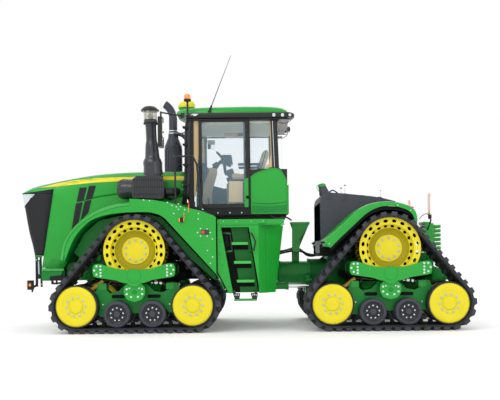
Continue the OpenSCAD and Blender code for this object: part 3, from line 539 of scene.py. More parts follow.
def belt(piece):
    """The rubber belt: its carcass, slanted drive lugs outside and guide lugs inside."""
    at, loop = belt_path()
    pitch = loop / LUGS

    def point(s, y, h):
        x, z, nx, nz = at(s)
        return (x + nx * h, y, z + nz * h)

    section = [(-BELT_HALF, 6), (-376, 1), (-360, 0), (360, 0), (376, 1), (BELT_HALF, 6), (BELT_HALF, 24),
        (374, 31)]
    section += [(355, CARCASS), (-355, CARCASS), (-374, 31), (-BELT_HALF, 24)]
    steps = LUGS * 6
    rows = [[point(i * loop / steps, y, h) for y, h in section] for i in range(steps)]
    piece.skin(rows + [rows[0]], RUBBER, wrap=True)

    # the tread's floor between the lugs
    tread_floor = [(-330, CARCASS - 4), (-322, CARCASS + LUG * 0.5), (322, CARCASS + LUG * 0.5),
        (330, CARCASS - 4)]
    rows = [[point(i * loop / steps, y, h) for y, h in tread_floor] for i in range(steps)]
    piece.skin(rows + [rows[0]], RUBBER)

    def block(s_mid, y0, y1, foot, top, h0, h1, slant, mat, cuts=4):
        """A lug between two heights, wider at its foot, that slants from y0 to y1."""
        for part in range(cuts):
            ends = []
            for k in (part, part + 1):
                t = k / cuts
                y = y0 + (y1 - y0) * t
                s = s_mid + slant * (t**1.25)
                grow = 1 + 0.25 * t
                ends.append([point(s - foot / 2 * grow, y, h0), point(s + foot / 2 * grow, y, h0),
                    point(s + top / 2 * grow + 6, y, h1), point(s - top / 2 * grow + 6, y, h1)])
            piece.skin(ends, mat, wrap=True, caps=True)

    # chevron lugs from both edges in to just past the middle, in a lighter grey than the carcass as a
    # painted highlight, and a guide lug under each
    edge, past, foot, top = 378, 20, 108, 70
    low, high, slant = CARCASS - 4, CARCASS + LUG - 0.6, 0.62 * pitch
    for k in range(LUGS):
        s = (k + 0.33) * pitch
        block(s, -edge, past, foot, top, low, high, slant, LUG_HIGHLIGHT)
        block(s + pitch / 2, edge, -past, foot, top, low, high, slant, LUG_HIGHLIGHT)
        block((k + 0.5) * pitch, -52, 52, 70, 44, 6, -GUIDE, 0, RUBBER, 1)


def drive_wheel(piece):
    """Two rims of windows joined by bars, a recessed ring of windows, the dish and the hub."""
    face = -306
    windows = [k * 18 + 9 for k in range(20)]

    def ring(r_hole, across, up, r_out, r_in, y0, y1):
        turned = [math.radians(a) for a in windows]
        holes = [oval(r_hole * math.cos(a), r_hole * math.sin(a), across, up, math.degrees(a))
            for a in turned]
        piece.prism(arc(0, 0, r_out, 0, 357, 119), y0, y1, YELLOW,
            holes=holes + [arc(0, 0, r_in, 0, 357, 119)])

    for y in (face, -face - 18):
        ring(453, 52, 76, DRIVE_R, 404, y, y + 18)
    # the outer rim's flanged edge, its inner lip and the wall in to the recessed ring
    piece.lathe([(DRIVE_R, face + 18), (DRIVE_R, face + 44), (500, face + 44), (500, face + 18)],
        (0, 0, 0), YELLOW, n=96)
    piece.lathe([(405, face + 14), (405, face), (399, face - 4), (393, face), (390, face + 10),
        (396, face + 16), (396, -200), (408, -200), (408, face + 14)], (0, 0, 0), YELLOW, n=96)
    piece.lathe([(DRIVE_R, 266), (DRIVE_R, 288), (498, 288), (498, 266)], (0, 0, 0), YELLOW, n=96)
    ring(370, 46, 62, 404, 340, -206, -192)
    # the dish down to the hub in a darker yellow, painted shade in its hollow, then the hub's flat face
    dish = [(342, -206), (336, -205), (322, -186), (300, -160), (272, -142), (244, -132), (232, -130),
        (230, -133)]
    piece.lathe(dish, (0, 0, 0), SHADED_YELLOW, n=96)
    hub = [(230, -133), (226, -140), (220, -142), (120, -142), (110, -144), (30, -144), (14, -147),
        (0, -148)]
    piece.lathe(hub, (0, 0, 0), YELLOW, n=96)
    piece.lathe([(0, -60), (340, -60), (340, -205)], (0, 0, 0), SHADED_YELLOW, n=96)
    # near-black drum and ring behind the windows: painted shade seen through them
    piece.lathe([(436, -120), (436, 286), (424, 286), (424, -60), (338, -60)], (0, 0, 0), SHADOW_BLACK, n=96)
    piece.lathe([(402, -130), (340, -130)], (0, 0, 0), SHADOW_BLACK, n=96)
    piece.bolt_ring(10, 172, -142, 18, 16, 22, STEEL)
    # bars that the belt's guide lugs push on
    for k in range(20):
        a = math.radians(k * 18)
        u, w = Vector((math.cos(a), math.sin(a))), Vector((-math.sin(a), math.cos(a)))
        outline = [tuple(u * r + w * s) for r, s in ((432, -15), (492, -15), (500, -8), (500, 8),
            (492, 15), (432, 15))]
        piece.prism(outline, face + 17, -face - 17, OCHRE)
    # inner barrel in the deep-shade green: painted shade
    piece.lathe([(200, -60), (200, 150), (106, 150)], (0, 0, 0), DEEP_SHADE)


def wheel_disc(piece, profile, side, mat, n=96):
    """Half of a wheel pair: a profile of (radius, in from the outer face) on one side of the middle."""
    piece.lathe([(r, side * t) for r, t in profile], (0, 0, 0), mat, n=n)


def idler(piece):
    """A pair of dished discs with bolts and a rubber tyre on each."""
    for side in (-1, 1):
        disc = [(0, 369), (8, 368), (14, 364), (88, 363), (100, 361), (108, 354), (114, 343), (122, 341),
            (128, 347)]
        disc += [(140, 349), (186, 349), (200, 352), (226, 360), (262, 366), (292, 367), (314, 362),
            (328, 352), (335, 336)]
        wheel_disc(piece, disc + [(335, 150), (300, 134), (60, 134)], side, YELLOW)
        wheel_disc(piece, [(334, 346), (345, 350), (354, 345), (357, 336), (357, 145), (350, 133),
            (330, 133)], side, TYRE)
        piece.bolt_ring(10, 157, side * 349, 4, 16, 18, STEEL, side)
    piece.lathe([(72, -134), (72, 134)], (0, 0, 0), ZINC)


def roller(piece):
    """A pair of small dark wheels with ribbed tyres."""
    for side in (-1, 1):
        tyre = [(158, 318), (164, 340), (172, 350), (180, 352), (204, 350), (218, 342), (224, 330),
            (224, 154), (216, 136)]
        wheel_disc(piece, tyre + [(160, 133)], side, TANK)
        wheel_disc(piece, [(0, 336), (42, 336), (50, 334)], side, TANK)
        disc = [(0, 334), (44, 334), (56, 331), (62, 324), (64, 316), (132, 316), (140, 318), (150, 326),
            (160, 328)]
        wheel_disc(piece, disc + [(160, 140), (60, 134)], side, BLACK)
        for r in (174, 196, 210):
            wheel_disc(piece, [(r - 3, 350.5 if r < 200 else 346), (r, 352 if r < 200 else 348.5),
                (r + 3, 350 if r < 200 else 345)], side, TYRE)
        piece.bolt_ring(9, 105, side * 316, 10, 10.5, 15, out=side)
    piece.lathe([(52, -134), (52, 134)], (0, 0, 0), ZINC)


FRAME_SIDE = [(-965, 362), (-700, 348), (-650, 330), (-610, 262), (-500, 262), (-470, 300), (-455, 405),
    (-390, 440), (-190, 470), (-60, 320), (60, 320), (190, 470), (390, 440), (455, 425), (560, 330),
    (650, 330), (965, 352), (965, 542), (765, 610), (690, 828), (560, 828), (528, 715), (440, 668),
    (300, 690), (180, 812), (-180, 812), (-300, 690), (-440, 662), (-500, 715), (-500, 828), (-640, 828),
    (-700, 610), (-965, 542)]


def track_frame(piece):
    """The cast beam between the idlers, with two rimmed slots, bump posts, tensioner and hoses."""
    slots = [race(s * 300, 604, 232, 66) for s in (-1, 1)]
    piece.plate(FRAME_SIDE, 26, -112, 112, SHADE, holes=slots)
    # near-black backing in the slots: painted shade
    for s in (-1, 1):
        piece.prism(race(s * 300, 604, 228, 62), -98, 98, SHADOW_BLACK)
    for y in (-118, 118):
        for s in (-1, 1):
            piece.prism(race(s * 300, 604, 262, 96), y - 4 if y < 0 else y - 8, y + 8 if y < 0 else y + 4,
                SHADE, holes=[race(s * 300, 604, 226, 62)])
        for s in (-1, 1):
            piece.prism(slab(s * 500, 720, s * 632, 826, 10), y - 6, y + 6, GREEN)
            piece.bolt((s * 560, y + (5 if y > 0 else -5), 470), 10, 12, out=1 if y > 0 else -1)
    # bosses, roller blocks, posts and the pivot ring in the deep-shade green: painted shade
    for s in (-1, 1):
        for x, z, r in ((s * IDLER_X, IDLER_Z, 100), (s * ROLLER_X, ROLLER_Z, 84)):
            piece.lathe([(r - 28, -117), (r - 4, -117), (r, -112), (r, 112), (r - 4, 117), (r - 28, 117)],
                (x, 0, z), DEEP_SHADE)
        piece.box((s * ROLLER_X - 66, -108, ROLLER_Z), (s * ROLLER_X + 66, 108, 470), DEEP_SHADE)
        # post under the bump stop
        piece.lathe([(0, 847), (50, 847), (58, 840), (58, 826)], (s * 600, 0, 0), DEEP_SHADE, "z", 28)
    piece.lathe([(82, -200), (120, -200), (130, -192), (130, 192), (120, 200), (82, 200)],
        (0, 0, PIVOT_Z), DEEP_SHADE)
    # tensioning cylinder over the fore arm, and the steel lines on top
    piece.tube([(-930, -60, 620), (-700, -70, 760), (-560, -70, 872)], 34, OCHRE, 18)
    piece.tube([(-560, -70, 866), (-420, -72, 880)], 20, MATT, 14)
    for i, y in enumerate((-96, -60, -20, 40)):
        line = [(-470, y, 800), (-420, y - 6, 866 + 6 * i), (-300, y, 842), (-200, y, 868), (-90, y, 852),
            (120, y, 864)]
        line += [(240, y, 842 + 5 * i), (400, y, 856), (470, y, 800)]
        piece.tube(smooth_line(line, 40), 9, HOSE if i % 2 else COPPER, 8)
    for x, z, w in ((330, 838, 60), (410, 822, 44), (262, 836, 34)):
        piece.lathe([(0, -58), (w / 2, -58), (w / 2 + 6, -44), (w / 2 + 6, 10), (w / 2, 20)], (x, -40, z),
            ZINC, n=18)
        piece.lathe([(w / 3, -66), (w / 3, -58)], (x, -40, z), BLACK, n=6)


SADDLE_IN, SADDLE_OUT = 322.0, 366.0
BEAM = [(-170, 838), (-300, 884), (-500, 915), (-600, 928), (-660, 945), (-680, 1000), (-680, 1090),
    (-655, 1145), (-600, 1158), (-520, 1146), (-400, 1106), (-294, 1074), (-150, 1058)]
BEAM += [(0, 1053)] + [(-x, z) for x, z in BEAM[::-1]] + arc(0, 898, 119, 325, 215, 10)
BEAM_BOLTS = [(-614, 1118), (-549, 1117), (-654, 1050), (-549, 1062), (-549, 1009), (-615, 983),
    (-549, 959)]
FLANGE_BOLTS = [(-126, 733), (-82, 748), (80, 748), (126, 733), (-127, 653), (127, 653), (-57, 605),
    (57, 605)]


def saddle(piece):
    """The bright beams over one undercarriage, cross plates, pivot flange and rubber bump stops."""
    piece.prism(rounded(BEAM, 14, 2), -SADDLE_OUT, -SADDLE_IN, GREEN)
    up = rounded([(-330, 1070), (330, 1070), (210, 1560), (-210, 1560)], 40)
    piece.prism(rounded(BEAM, 14, 2), SADDLE_IN, SADDLE_OUT, GREEN)
    piece.prism(up, SADDLE_IN + 2, SADDLE_OUT - 2, GREEN, holes=[arc(0, AXLE_Z, 151, 0, 350, 35)])
    # near-black plate between the beams: painted shade
    piece.prism([(-800, 905), (-640, 800), (640, 800), (800, 905), (800, 1000), (-800, 1000)],
        SADDLE_IN + 4, SADDLE_IN + 14, SHADOW_BLACK)
    for s in (-1, 1):
        piece.box((s * 630 - 30, -SADDLE_IN - 1, 952), (s * 630 + 30, SADDLE_IN + 1, 1133), GREEN)
        lobes = rounded([(s * 178, 696), (s * 172, 640), (s * 120, 560), (0, 520), (-s * 120, 560),
            (-s * 172, 640), (-s * 178, 696), (-s * 172, 760), (-s * 118, 830), (s * 118, 830),
            (s * 172, 760)], 40)
        if s < 0:
            piece.prism(lobes, -SADDLE_IN - 2, -290, GREEN)
        else:
            piece.prism(lobes, 290, SADDLE_IN + 2, GREEN)
        piece.prism([(-100, 700), (100, 700), (100, 845), (-100, 845)], s * (SADDLE_IN + 3) - 4,
            s * (SADDLE_IN + 3) + 4, GREEN)
        for x, z in BEAM_BOLTS:
            piece.bolt((s * x, -SADDLE_OUT, z), 14, 12)
        # bump stop with its clamping ring
        stop = [(0, 912), (44, 912), (52, 916), (55, 922), (50, 929), (55, 936), (55, 942), (48, 950),
            (0, 950)]
        piece.lathe(stop, (s * 600, 0, 0), MATT, "z", 32)
    # thin joint line round the beam's middle, and the cover it marks
    piece.lathe([(114, -SADDLE_OUT), (114, -SADDLE_OUT - 1.5), (117, -SADDLE_OUT - 1.5),
        (117, -SADDLE_OUT)], (0, 0, 958), DEEP_SHADE, n=64)
    piece.lathe([(0, -SADDLE_OUT - 2.5), (110, -SADDLE_OUT - 2.5), (113, -SADDLE_OUT - 1.5),
        (113, -SADDLE_OUT)], (0, 0, 958), GREEN, n=64)
    piece.lathe([(0, -SADDLE_IN - 8), (36, -SADDLE_IN - 8), (46, -SADDLE_IN - 2)], (0, 0, 690), SHADE,
        n=32)
    for x, z in FLANGE_BOLTS:
        piece.bolt((x, -SADDLE_IN - 2, z), 14, 12)
    piece.lathe([(79, -291), (79, 291)], (0, 0, PIVOT_Z), ZINC)


made = {}
for unit in UNITS:
    front, side = unit.split("_")
    flip = side == "right"
    origin = unit_at(unit)
    track = unit + "_track"
    wheels = {"drive_wheel": (drive_wheel, "drive_spin", "wheel_paint", 3.0),
        "fore_idler": (idler, "fore_idler_spin", "wheel_paint", 2.0),
        "aft_idler": (idler, "aft_idler_spin", "wheel_paint", 2.0),
        "fore_roller": (roller, "fore_roller_spin", "roller_rubber", 2.0),
        "aft_roller": (roller, "aft_roller_spin", "roller_rubber", 2.0)}
    for part, (draw, joint, finish, edge) in wheels.items():
        name, key = f"{unit}_{part}", (draw.__name__, flip)
        at = JOINT_AT[f"{unit}_{joint}"]
        if key in made:
            twin(made[key], name + "_piece", at, name, name)
            continue
        piece = Piece(name + "_piece", flip)
        draw(piece)
        made[key] = piece.build(name, at, edge, stands_for=name, slot=finish)
    for part, draw, body, edge, node in (("frame", track_frame, track, 4.0, f"{unit}_track_frame"),
            ("saddle", saddle, front + "_frame", 4.0, f"{front}_saddles")):
        key = (part, flip)
        finish = "undercarriage_paint" if part == "frame" else "body_paint"
        if key in made:
            twin(made[key], f"{unit}_{part}_piece", origin, body, node)
            continue
        piece = Piece(f"{unit}_{part}_piece", flip)
        draw(piece)
        made[key] = piece.build(body, origin, edge, stands_for=node, slot=finish)
    piece = Piece(unit + "_belt_piece", flip)
    belt(piece)
    loop = piece.build(track, origin, 0, 30, parent=False)
    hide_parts(unit + "_belt")
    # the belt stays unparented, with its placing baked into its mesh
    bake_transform(loop)

# ------------------------------------------------------------------ hood and nose

FRONT, REAR = "front_frame", "rear_frame"
FRONT_X = (JOINT_AT["front_left_drive_spin"].x - PIN.x) * 1000
HOOD_HALF = 620.0
CROWN = [(-4232, 2412), (-4222, 2424), (-4190, 2448), (-4130, 2490), (-4022, 2545), (-3890, 2574),
    (-3737, 2601), (-3556, 2642), (-3356, 2681), (-3166, 2714), (-2976, 2741), (-2700, 2768),
    (-2429, 2785), (-2073, 2792), (-1700, 2793), (-1322, 2793)]
FALL = [(0.0, 0), (0.25, 2), (0.5, 7), (0.68, 18), (0.76, 30), (0.81, 50), (0.86, 66), (0.93, 88),
    (0.975, 116), (1.0, 158)]


def between(line, x):
    """The height of a line of points at x."""
    for (x0, z0), (x1, z1) in zip(line, line[1:]):
        if x0 <= x <= x1:
            return z0 + (z1 - z0) * (x - x0) / (x1 - x0)
    return line[0][1] if x < line[0][0] else line[-1][1]


FALL_DEPTH = FALL[-1][1]


def station(x_top, x_low, z_low, half, flat=6):
    """One line of points from the hood's lower left edge over the crown to the lower right."""
    top = between(CROWN, x_top)
    shrink = min(1.0, 0.96 * (top - z_low) / FALL_DEPTH)
    side = [(half * y, x_top, top - drop * shrink) for y, drop in FALL]
    y, x, z = side[-1]
    for k in range(1, flat + 1):
        t = k / flat
        side.append((half, x + (x_low - x) * t, z + (z_low - z) * t))
    right = [Vector((x, y, z)) for y, x, z in side]
    return [Vector((p.x, -p.y, p.z)) for p in right[::-1]] + right[1:]


nose = [(-4231, 2404, 500), (-4222, 2405, 528), (-4200, 2407, 556), (-4150, 2411, 584),
    (-4060, 2420, 604), (-3920, 2436, 614), (-3780, 2455, 618), (-3642, 2474, 620)]
flank = [(-3638, -3864, 1090), (-3580, -3700, 1086), (-3500, -3478, 1084), (-3440, -3392, 1225),
    (-3390, -3334, 1350), (-3350, -3326, 1540), (-3310, -3322, 1760), (-3270, -3290, 1990),
    (-3244, -3242, 2222), (-3106, -3104, 2262), (-2976, -2976, 2292), (-2800, -2800, 2328),
    (-2560, -2560, 2358), (-2270, -2270, 2396), (-1900, -1900, 2332), (-1560, -1560, 2268),
    (-1430, -1430, 2305), (-1322, -1356, 2334)]

shell = Piece("hood_skin")
rows = [station(x, x, z, half) for x, z, half in nose] + [station(a, b, z, HOOD_HALF)
    for a, b, z in flank]
shell.skin(rows, GREEN)
shell.build("hood", edge=0, sharp=32, stands_for="hood_shell", slot="body_paint", thick=9)

# what is fixed on the skin: stripe, vents, seams and hinges, and a thin raised line along each shoulder
# in the lighter green, a painted highlight
trim = Piece("hood_trim")
mark = trim.mark()
OUT = -HOOD_HALF - 1
stripe = [(-3905, 2500), (-3592, 2588), (-3340, 2630), (-3060, 2654), (-2575, 2672), (-2188, 2676),
    (-1950, 2678), (-1314, 2678), (-1314, 2604), (-1950, 2612), (-2233, 2611), (-2575, 2592),
    (-2925, 2578), (-3261, 2550), (-3626, 2514)]


def skin_side(x, z):
    """How far left the hood's skin stands at a height on its side."""
    half, shrink = HOOD_HALF, 1.0
    if x < nose[-1][0]:
        half = between([(a, h) for a, _, h in nose], x)
        low = between([(a, z_low) for a, z_low, _ in nose], x)
        shrink = min(1.0, 0.96 * (between(CROWN, x) - low) / FALL_DEPTH)
    drop = (between(CROWN, x) - z) / shrink
    falls = [(d, y) for y, d in FALL]
    return -half * between(falls, drop) if drop < FALL_DEPTH else -half


def on_skin(line, lift=1.6):
    """A line of points laid on the hood's left side."""
    return [Vector((x, skin_side(x, z) - lift, z)) for x, z in line]


def ribbon(piece, upper, lower, mat, lift=2.0):
    """A band on the hood's side between two lines of points."""
    rows = []
    for (x0, z0), (x1, z1) in zip(upper, lower):
        rows.append([Vector((x0 + (x1 - x0) * t, 0, z0 + (z1 - z0) * t))
            for t in (0, 0.25, 0.5, 0.75, 1)])
    for r in rows:
        for p in r:
            p.y = skin_side(p.x, p.z) - lift
    piece.skin(rows, mat)


xs = [-3905 + 2591 * k / 60 for k in range(61)]
tops = sorted(stripe[:8])
lows = sorted([stripe[0]] + stripe[8:])
ribbon(trim, [(x, between(tops, x)) for x in xs], [(x, between(lows, x)) for x in xs], YELLOW, 2.4)
ribbon(trim, [(x, between(tops, x) + 5) for x in xs], [(x, between(lows, x) - 5) for x in xs], SHADE, 1.4)
for vent in ([(-3190, 2490), (-3056, 2499), (-3120, 2268), (-3244, 2242)],
        [(-3024, 2521), (-2898, 2528), (-2966, 2300), (-3090, 2276)]):
    trim.plate(vent, 16, OUT - 2, OUT + 14, MESH)
    trim.louvres(vent, 9, OUT - 5, OUT - 1, BLACK)
edge_line = [(b, z) for a, b, z in flank[8:14]]
trim.tube([Vector((x, OUT, z)) for x, z in edge_line], 2.4, HOSE, 6)
rear_edge = [(-1322, -560, 2690), (-1322, -620, 2600), (-1356, -621, 2334)]
trim.tube([Vector(p) + Vector((4, 0, 0)) for p in rear_edge], 7, MATT, 8)
for z in (2440, 2520, 2600):
    trim.bolt((-1380, OUT, z), 6, 6)
# thin lighter line along the shoulder: painted highlight
shoulder_highlight = [(-3876, 2560), (-3478, 2630), (-3036, 2684), (-2595, 2716), (-2080, 2733), (-1420, 2736)]
shoulder = flat_line(shoulder_highlight, 60)
trim.tube(on_skin(shoulder, 1), [1 + 4 * min(1, k / 6) for k in range(len(shoulder))], LIT_GREEN, 8)
trim.mirror(*mark)
trim.tube([(-1322, -560, 2691), (-1322, 0, 2783), (-1322, 560, 2691)], 6, MATT, 8)
trim.rod((-1345, -560, 2780), (-1345, -480, 2780), 12, ZINC)
trim.rod((-1345, 480, 2780), (-1345, 560, 2780), 12, ZINC)
trim.build("hood", edge=1.2, slot="body_paint")

# the grille wraps round the nose between its slanted edges
GRILLE_LOW, GRILLE_TOP = 1306, 2392
GRILLE_FRONT = [(GRILLE_LOW, -4012), (1500, -4052), (1700, -4104), (1900, -4140), (2100, -4172),
    (2250, -4196), (2400, -4222)]
GRILLE_BACK = [(GRILLE_LOW, -3832), (2470, -3624)]


def plan(z, inset=0.0, n=16):
    """The nose's outline at a height, from its left rear edge round the front to the right."""
    front = between(GRILLE_FRONT, z) + inset
    back = between(GRILLE_BACK, z)
    half = 612 - inset
    points = [(back, -half), (back + (front - back) * 0.3, -half + 1)]
    for k in range(n + 1):
        a = math.radians(90 * k / n)
        points.append((front + (1 - math.sin(a)) * min(130, (back - front) * 0.5),
            -half + 110 * (1 - math.cos(a))))
    points.append((front, -200))
    points.append((front - 2, 0))
    return points + [(x, -y) for x, y in points[-2::-1]]


def top_of(x):
    """The grille's upper edge, under the hood's cap."""
    line = [(-4231, 2398), (-4110, 2408), (-4022, 2418), (-3920, 2430), (-3780, 2449), (-3620, 2470)]
    return between(line, x)


grille = Piece("grille_skin")
levels = [GRILLE_LOW + (GRILLE_TOP - GRILLE_LOW) * k / 30 for k in range(31)]
grille.skin([[Vector((x, y, z)) for x, y in plan(z)] for z in levels], MESH)
crest = plan(GRILLE_TOP)
grille.skin([[Vector((x, y, GRILLE_TOP)) for x, y in crest],
    [Vector((x, y, top_of(x))) for x, y in crest]], MESH)
grille.build("hood", edge=0, sharp=50, stands_for="hood_grille", slot="grille_black", thick=12)

bars = Piece("grille_bars")
for z in range(GRILLE_LOW + 54, 2240, 54):
    line = [Vector((x - 1, y * 1.002, z)) for x, y in plan(z)][2:-2]
    bars.tube(line, 3.2, BLACK, 6)
bars.tube([Vector((x, y, 1300)) for x, y in plan(GRILLE_LOW, -5)], 9, GREEN, 8)
for side in (-1, 1):
    bars.tube([Vector((between(GRILLE_BACK, z) + 4, side * 617, z)) for z in levels], 5, SHADE, 8)
bars.build("hood", edge=0.8, slot="grille_black")

# headlamps: clear wedges at both corners of the nose with reflectors behind them
lamps = Piece("headlamps")
for side in (-1, 1):
    rows = []
    for k in range(22):
        z = GRILLE_TOP - 232 * k / 21
        line = plan(z, -5)
        reach = [Vector((x0 + (x1 - x0) * i / 12, (y0 + (y1 - y0) * i / 12) * side, z))
            for (x0, y0), (x1, y1) in zip(line, line[1:]) for i in range(12)]
        depth = 1 - k / 21
        back_edge = -4210 + (GRILLE_TOP - z) * 0.12 + 258 * depth
        keep = [p for p in reach if p.x < back_edge and p.y * side < -300]
        if len(keep) < 3:
            break
        fine = smooth_line(keep, 14)
        rows.append([fine[round(i * (len(fine) - 1) / 23)] for i in range(24)])
    lamps.skin(rows, LENS)
    lamps.tube(rows[0], 5, BLACK, 6)
    lamps.tube([r[0] for r in rows], 5, BLACK, 6)
    for x, y, z in ((-4188, -470, 2340), (-4120, -560, 2352)):
        lamps.lathe([(0, -4), (30, 0), (44, 10), (50, 24)], (x - 18, y * side - side * 4, z), CHROME, "x",
            24)
lamps.build("hood", edge=0, slot="glass", thick=4)

# ------------------------------------------------------------------ front fenders

BAND = [(-1152, -14), (-1131, 84), (-1084, 196), (-1014, 300), (-922, 400), (-795, 503), (-635, 603),
    (-476, 668), (-318, 712), (-159, 738), (-65, 748)]
ARCH = [(-1152, -170), (-1110, -60), (-1060, 60), (-1000, 190), (-930, 300), (-830, 408), (-726, 498),
    (-600, 556), (-500, 586), (-391, 608), (-220, 628), (-58, 637), (110, 638), (265, 632), (400, 600),
    (470, 562), (527, 519), (640, 392), (1000, -6), (1343, -386), (1440, -560), (1482, -668)]
PLATE_TOP = [(-65, 858), (-59, 861), (323, 837), (608, 786), (873, 708), (1119, 648), (1330, 566),
    (1360, 540)]


FENDER_OUT = 1450


def at_axle(points):
    """Points given from the front axle, from the articulation pin instead."""
    return [(FRONT_X + x, AXLE_Z + z) for x, z in points]


fender = Piece("front_fender_left")
fender.strip(at_axle(flat_line(ARCH)), 14, -1436, -644, SHADE)
band = at_axle(flat_line(BAND))
fore_arch, aft_arch = at_axle(flat_line(ARCH[:12])), at_axle(flat_line(ARCH[11:20]))
plate = band + at_axle(PLATE_TOP) + at_axle([(1360, -396)]) + aft_arch[::-1] + fore_arch[::-1]
fender.prism(plate, -FENDER_OUT, -FENDER_OUT + 16, GREEN)
# rounded shoulder over the front of the arch, in to the hood
shoulder = at_axle(flat_line([(-1170, -150)] + BAND))
steps = [(0, -1447), (10, -1446), (22, -1441), (36, -1429), (50, -1406), (62, -1366), (74, -1290),
    (88, -1130), (102, -880), (116, -640)]
fender.skin([[Vector((x, y, z)) for x, z in lifted(shoulder, up)] for up, y in steps], GREEN)
# thin dark line along the band's top edge: painted shadow in the crease
fender.tube([Vector((x, -1449.5, z)) for x, z in band], 4.6, DEEP_SHADE, 6)
# shelf behind it, its flange along the plate, and the inner shield with the lower vents
shelf = at_axle([(-60, 780), (420, 780), (820, 692), (1110, 628), (1352, 536)])
fender.strip(shelf, 10, -1434, -640, GREEN)
inner = at_axle([(-1200, -20), (-1198, 390), (-1160, 640), (-1119, 856), (-980, 888), (-856, 918),
    (-680, 954), (-440, 984), (-150, 1020), (220, 958), (560, 894), (690, 930), (868, 940), (868, 128),
    (400, 612), (265, 650), (-391, 622), (-726, 512), (-940, 312), (-1100, -10)])
fender.prism(inner, -650, -636, GREEN)
for vent in ([(-3250, 2212), (-3130, 2236), (-3206, 1874), (-3342, 1676)],
        [(-3096, 2250), (-2974, 2280), (-3036, 2046), (-3176, 1902)]):
    fender.plate(vent, 14, -658, -646, MESH)
    fender.louvres(vent, 12, -661, -657, BLACK)
# inner liner and the gusset seen under the arch
liner = at_axle([(-1080, -20), (-900, 300), (-650, 520), (-300, 600), (200, 620), (420, 560),
    (1330, -430), (1330, -520), (400, 300), (-200, 380), (-520, 300), (-760, 100), (-900, -180)])
fender.prism(liner, -1060, -1048, SHADE)
gusset = at_axle([(-1070, -180), (-700, 420), (-560, 540), (-520, 480), (-700, 100), (-760, -180)])
fender.prism(gusset, -900, -880, GREEN)
fender.prism(at_axle([(-610, 540), (-560, 556), (-640, -160), (-700, -160)]), -1000, -900, GREEN)
# bolts, the small lamps and the marker stick on the flat plate
for x, z in [(-1950, 2208), (-1853, 2196), (-1558, 2162), (-1484, 2114), (-1413, 2086), (-1377, 2136),
        (-1342, 2094), (-1378, 2047), (-1275, 2040), (-977, 2042), (-1455, 1980), (-1048, 1976),
        (-1053, 1884), (-1016, 1725), (-906, 1718), (-1066, 1661), (-855, 1657), (-1016, 1600),
        (-906, 1599), (-822, 1549), (-822, 1253), (-906, 1361), (-859, 1149)]:
    fender.bolt((x, -FENDER_OUT, z), 8.5, 8)
fender.prism(slab(-1008, 1700, -880, 1628, 8), -1456, -1446, MATT)
fender.prism(slab(-1000, 1690, -948, 1638, 8), -1466, -1454, RED)
fender.prism(slab(-938, 1690, -890, 1638, 8), -1462, -1454, TANK)
fender.prism(slab(-1352, 1912, -1300, 1830, 8), -1480, -1450, MATT)
fender.prism(slab(-1372, 1904, -1348, 1838, 6), -1476, -1452, AMBER)
fender.prism(slab(-1296, 1900, -1284, 1842, 4), -1476, -1452, AMBER)
fender.rod((-1286, -1468, 1880), (-1286, -1468, 1990), 6, AMBER)
fender.rod((-1209, -1462, 1994), (-1209, -1462, 2120), 7, AMBER)
fender.rod((-1209, -1462, 2120), (-1209, -1462, 2190), 7, RED)
fender.rod((-1224, -1462, 2150), (-1224, -1462, 2205), 6, WHITE)
for name, flip in (("front_fender_left", False), ("front_fender_right", True)):
    fender.name, fender.flip = name, flip
    fender.build(FRONT, edge=3, stands_for="front_fenders", slot="body_paint")

# nose frame under the grille, a ledge strip in the lighter green as a painted highlight, skirt, and
# near-black sheets and a block behind the belts as painted shade
front = Piece("front_structure")
mark = front.mark()
front.prism([(-3872, 1082), (-3486, 1078), (-3486, 1034), (-3872, 1036)], -606, -560, LIT_GREEN)
front.plate([(-3883, 1040), (-3500, 1040), (-3540, 951), (-3730, 938), (-3746, 864), (-3880, 864)], 12,
    -590, -561, SHADE)
front.plate([(-3740, 940), (-3470, 960), (-3440, 862), (-3720, 862)], 16, -600, -562, MATT)
front.prism([(-3478, 1180), (-3340, 1180), (-3300, 1700), (-3130, 2100), (-2300, 2300), (-1500, 2250),
    (-1150, 2030), (-700, 1600), (-620, 1250), (-620, 1195), (-3478, 1195)], -600, -592, SHADOW_BLACK)
front.prism([(-3470, 860), (-3000, 860), (-2600, 1000), (-2600, 1190), (-3470, 1190)], -470, -402, SHADE)
front.prism([(-3080, 1010), (-2980, 985), (-2600, 1000), (-2600, 1440), (-2680, 1430), (-2800, 1350),
    (-2940, 1240), (-3080, 1110)], -640, -604, GREEN)
front.box((-1560, -560, 880), (-1100, -402, 1180), SHADOW_BLACK)
front.tube(smooth_line([(-3300, -470, 1500), (-2900, -500, 1700), (-2500, -480, 1620),
    (-2350, -470, 1500)], 60), 26, HOSE, 12)
front.tube(smooth_line([(-3360, -460, 1250), (-2950, -480, 1300), (-2500, -470, 1280)], 60), 18, HOSE, 12)
# lamp bracket: two uprights with a pale insert, its arm and a turn signal
front.prism(slab(-3994, 1304, -3960, 756, 2), -564, -516, MATT)
front.plate([(-3922, 1304), (-3896, 1304), (-3880, 752), (-3906, 752)], 5, -562, -518, MATT)
front.prism([(-3968, 964), (-3896, 964), (-3896, 896), (-3968, 896)], -564, -516, MATT)
front.plate([(-3958, 1230), (-3922, 1230), (-3912, 966), (-3956, 966)], 8, -556, -540, TANK)
front.plate([(-3952, 1212), (-3930, 1212), (-3922, 984), (-3948, 984)], 8, -560, -554, STEEL)
front.plate([(-4000, 1328), (-3890, 1320), (-3888, 1272), (-3998, 1276)], 10, -567, -514, SHADE)
for x, z in ((-3980, 1302), (-3910, 1298), (-3976, 1230), (-3894, 800)):
    front.bolt((x, -567, z), 8, 6)
arm = [(-3977, -540, 790), (-3977, -700, 765), (-3925, -1150, 765)]
front.tube(arm, 19, MATT, 14)
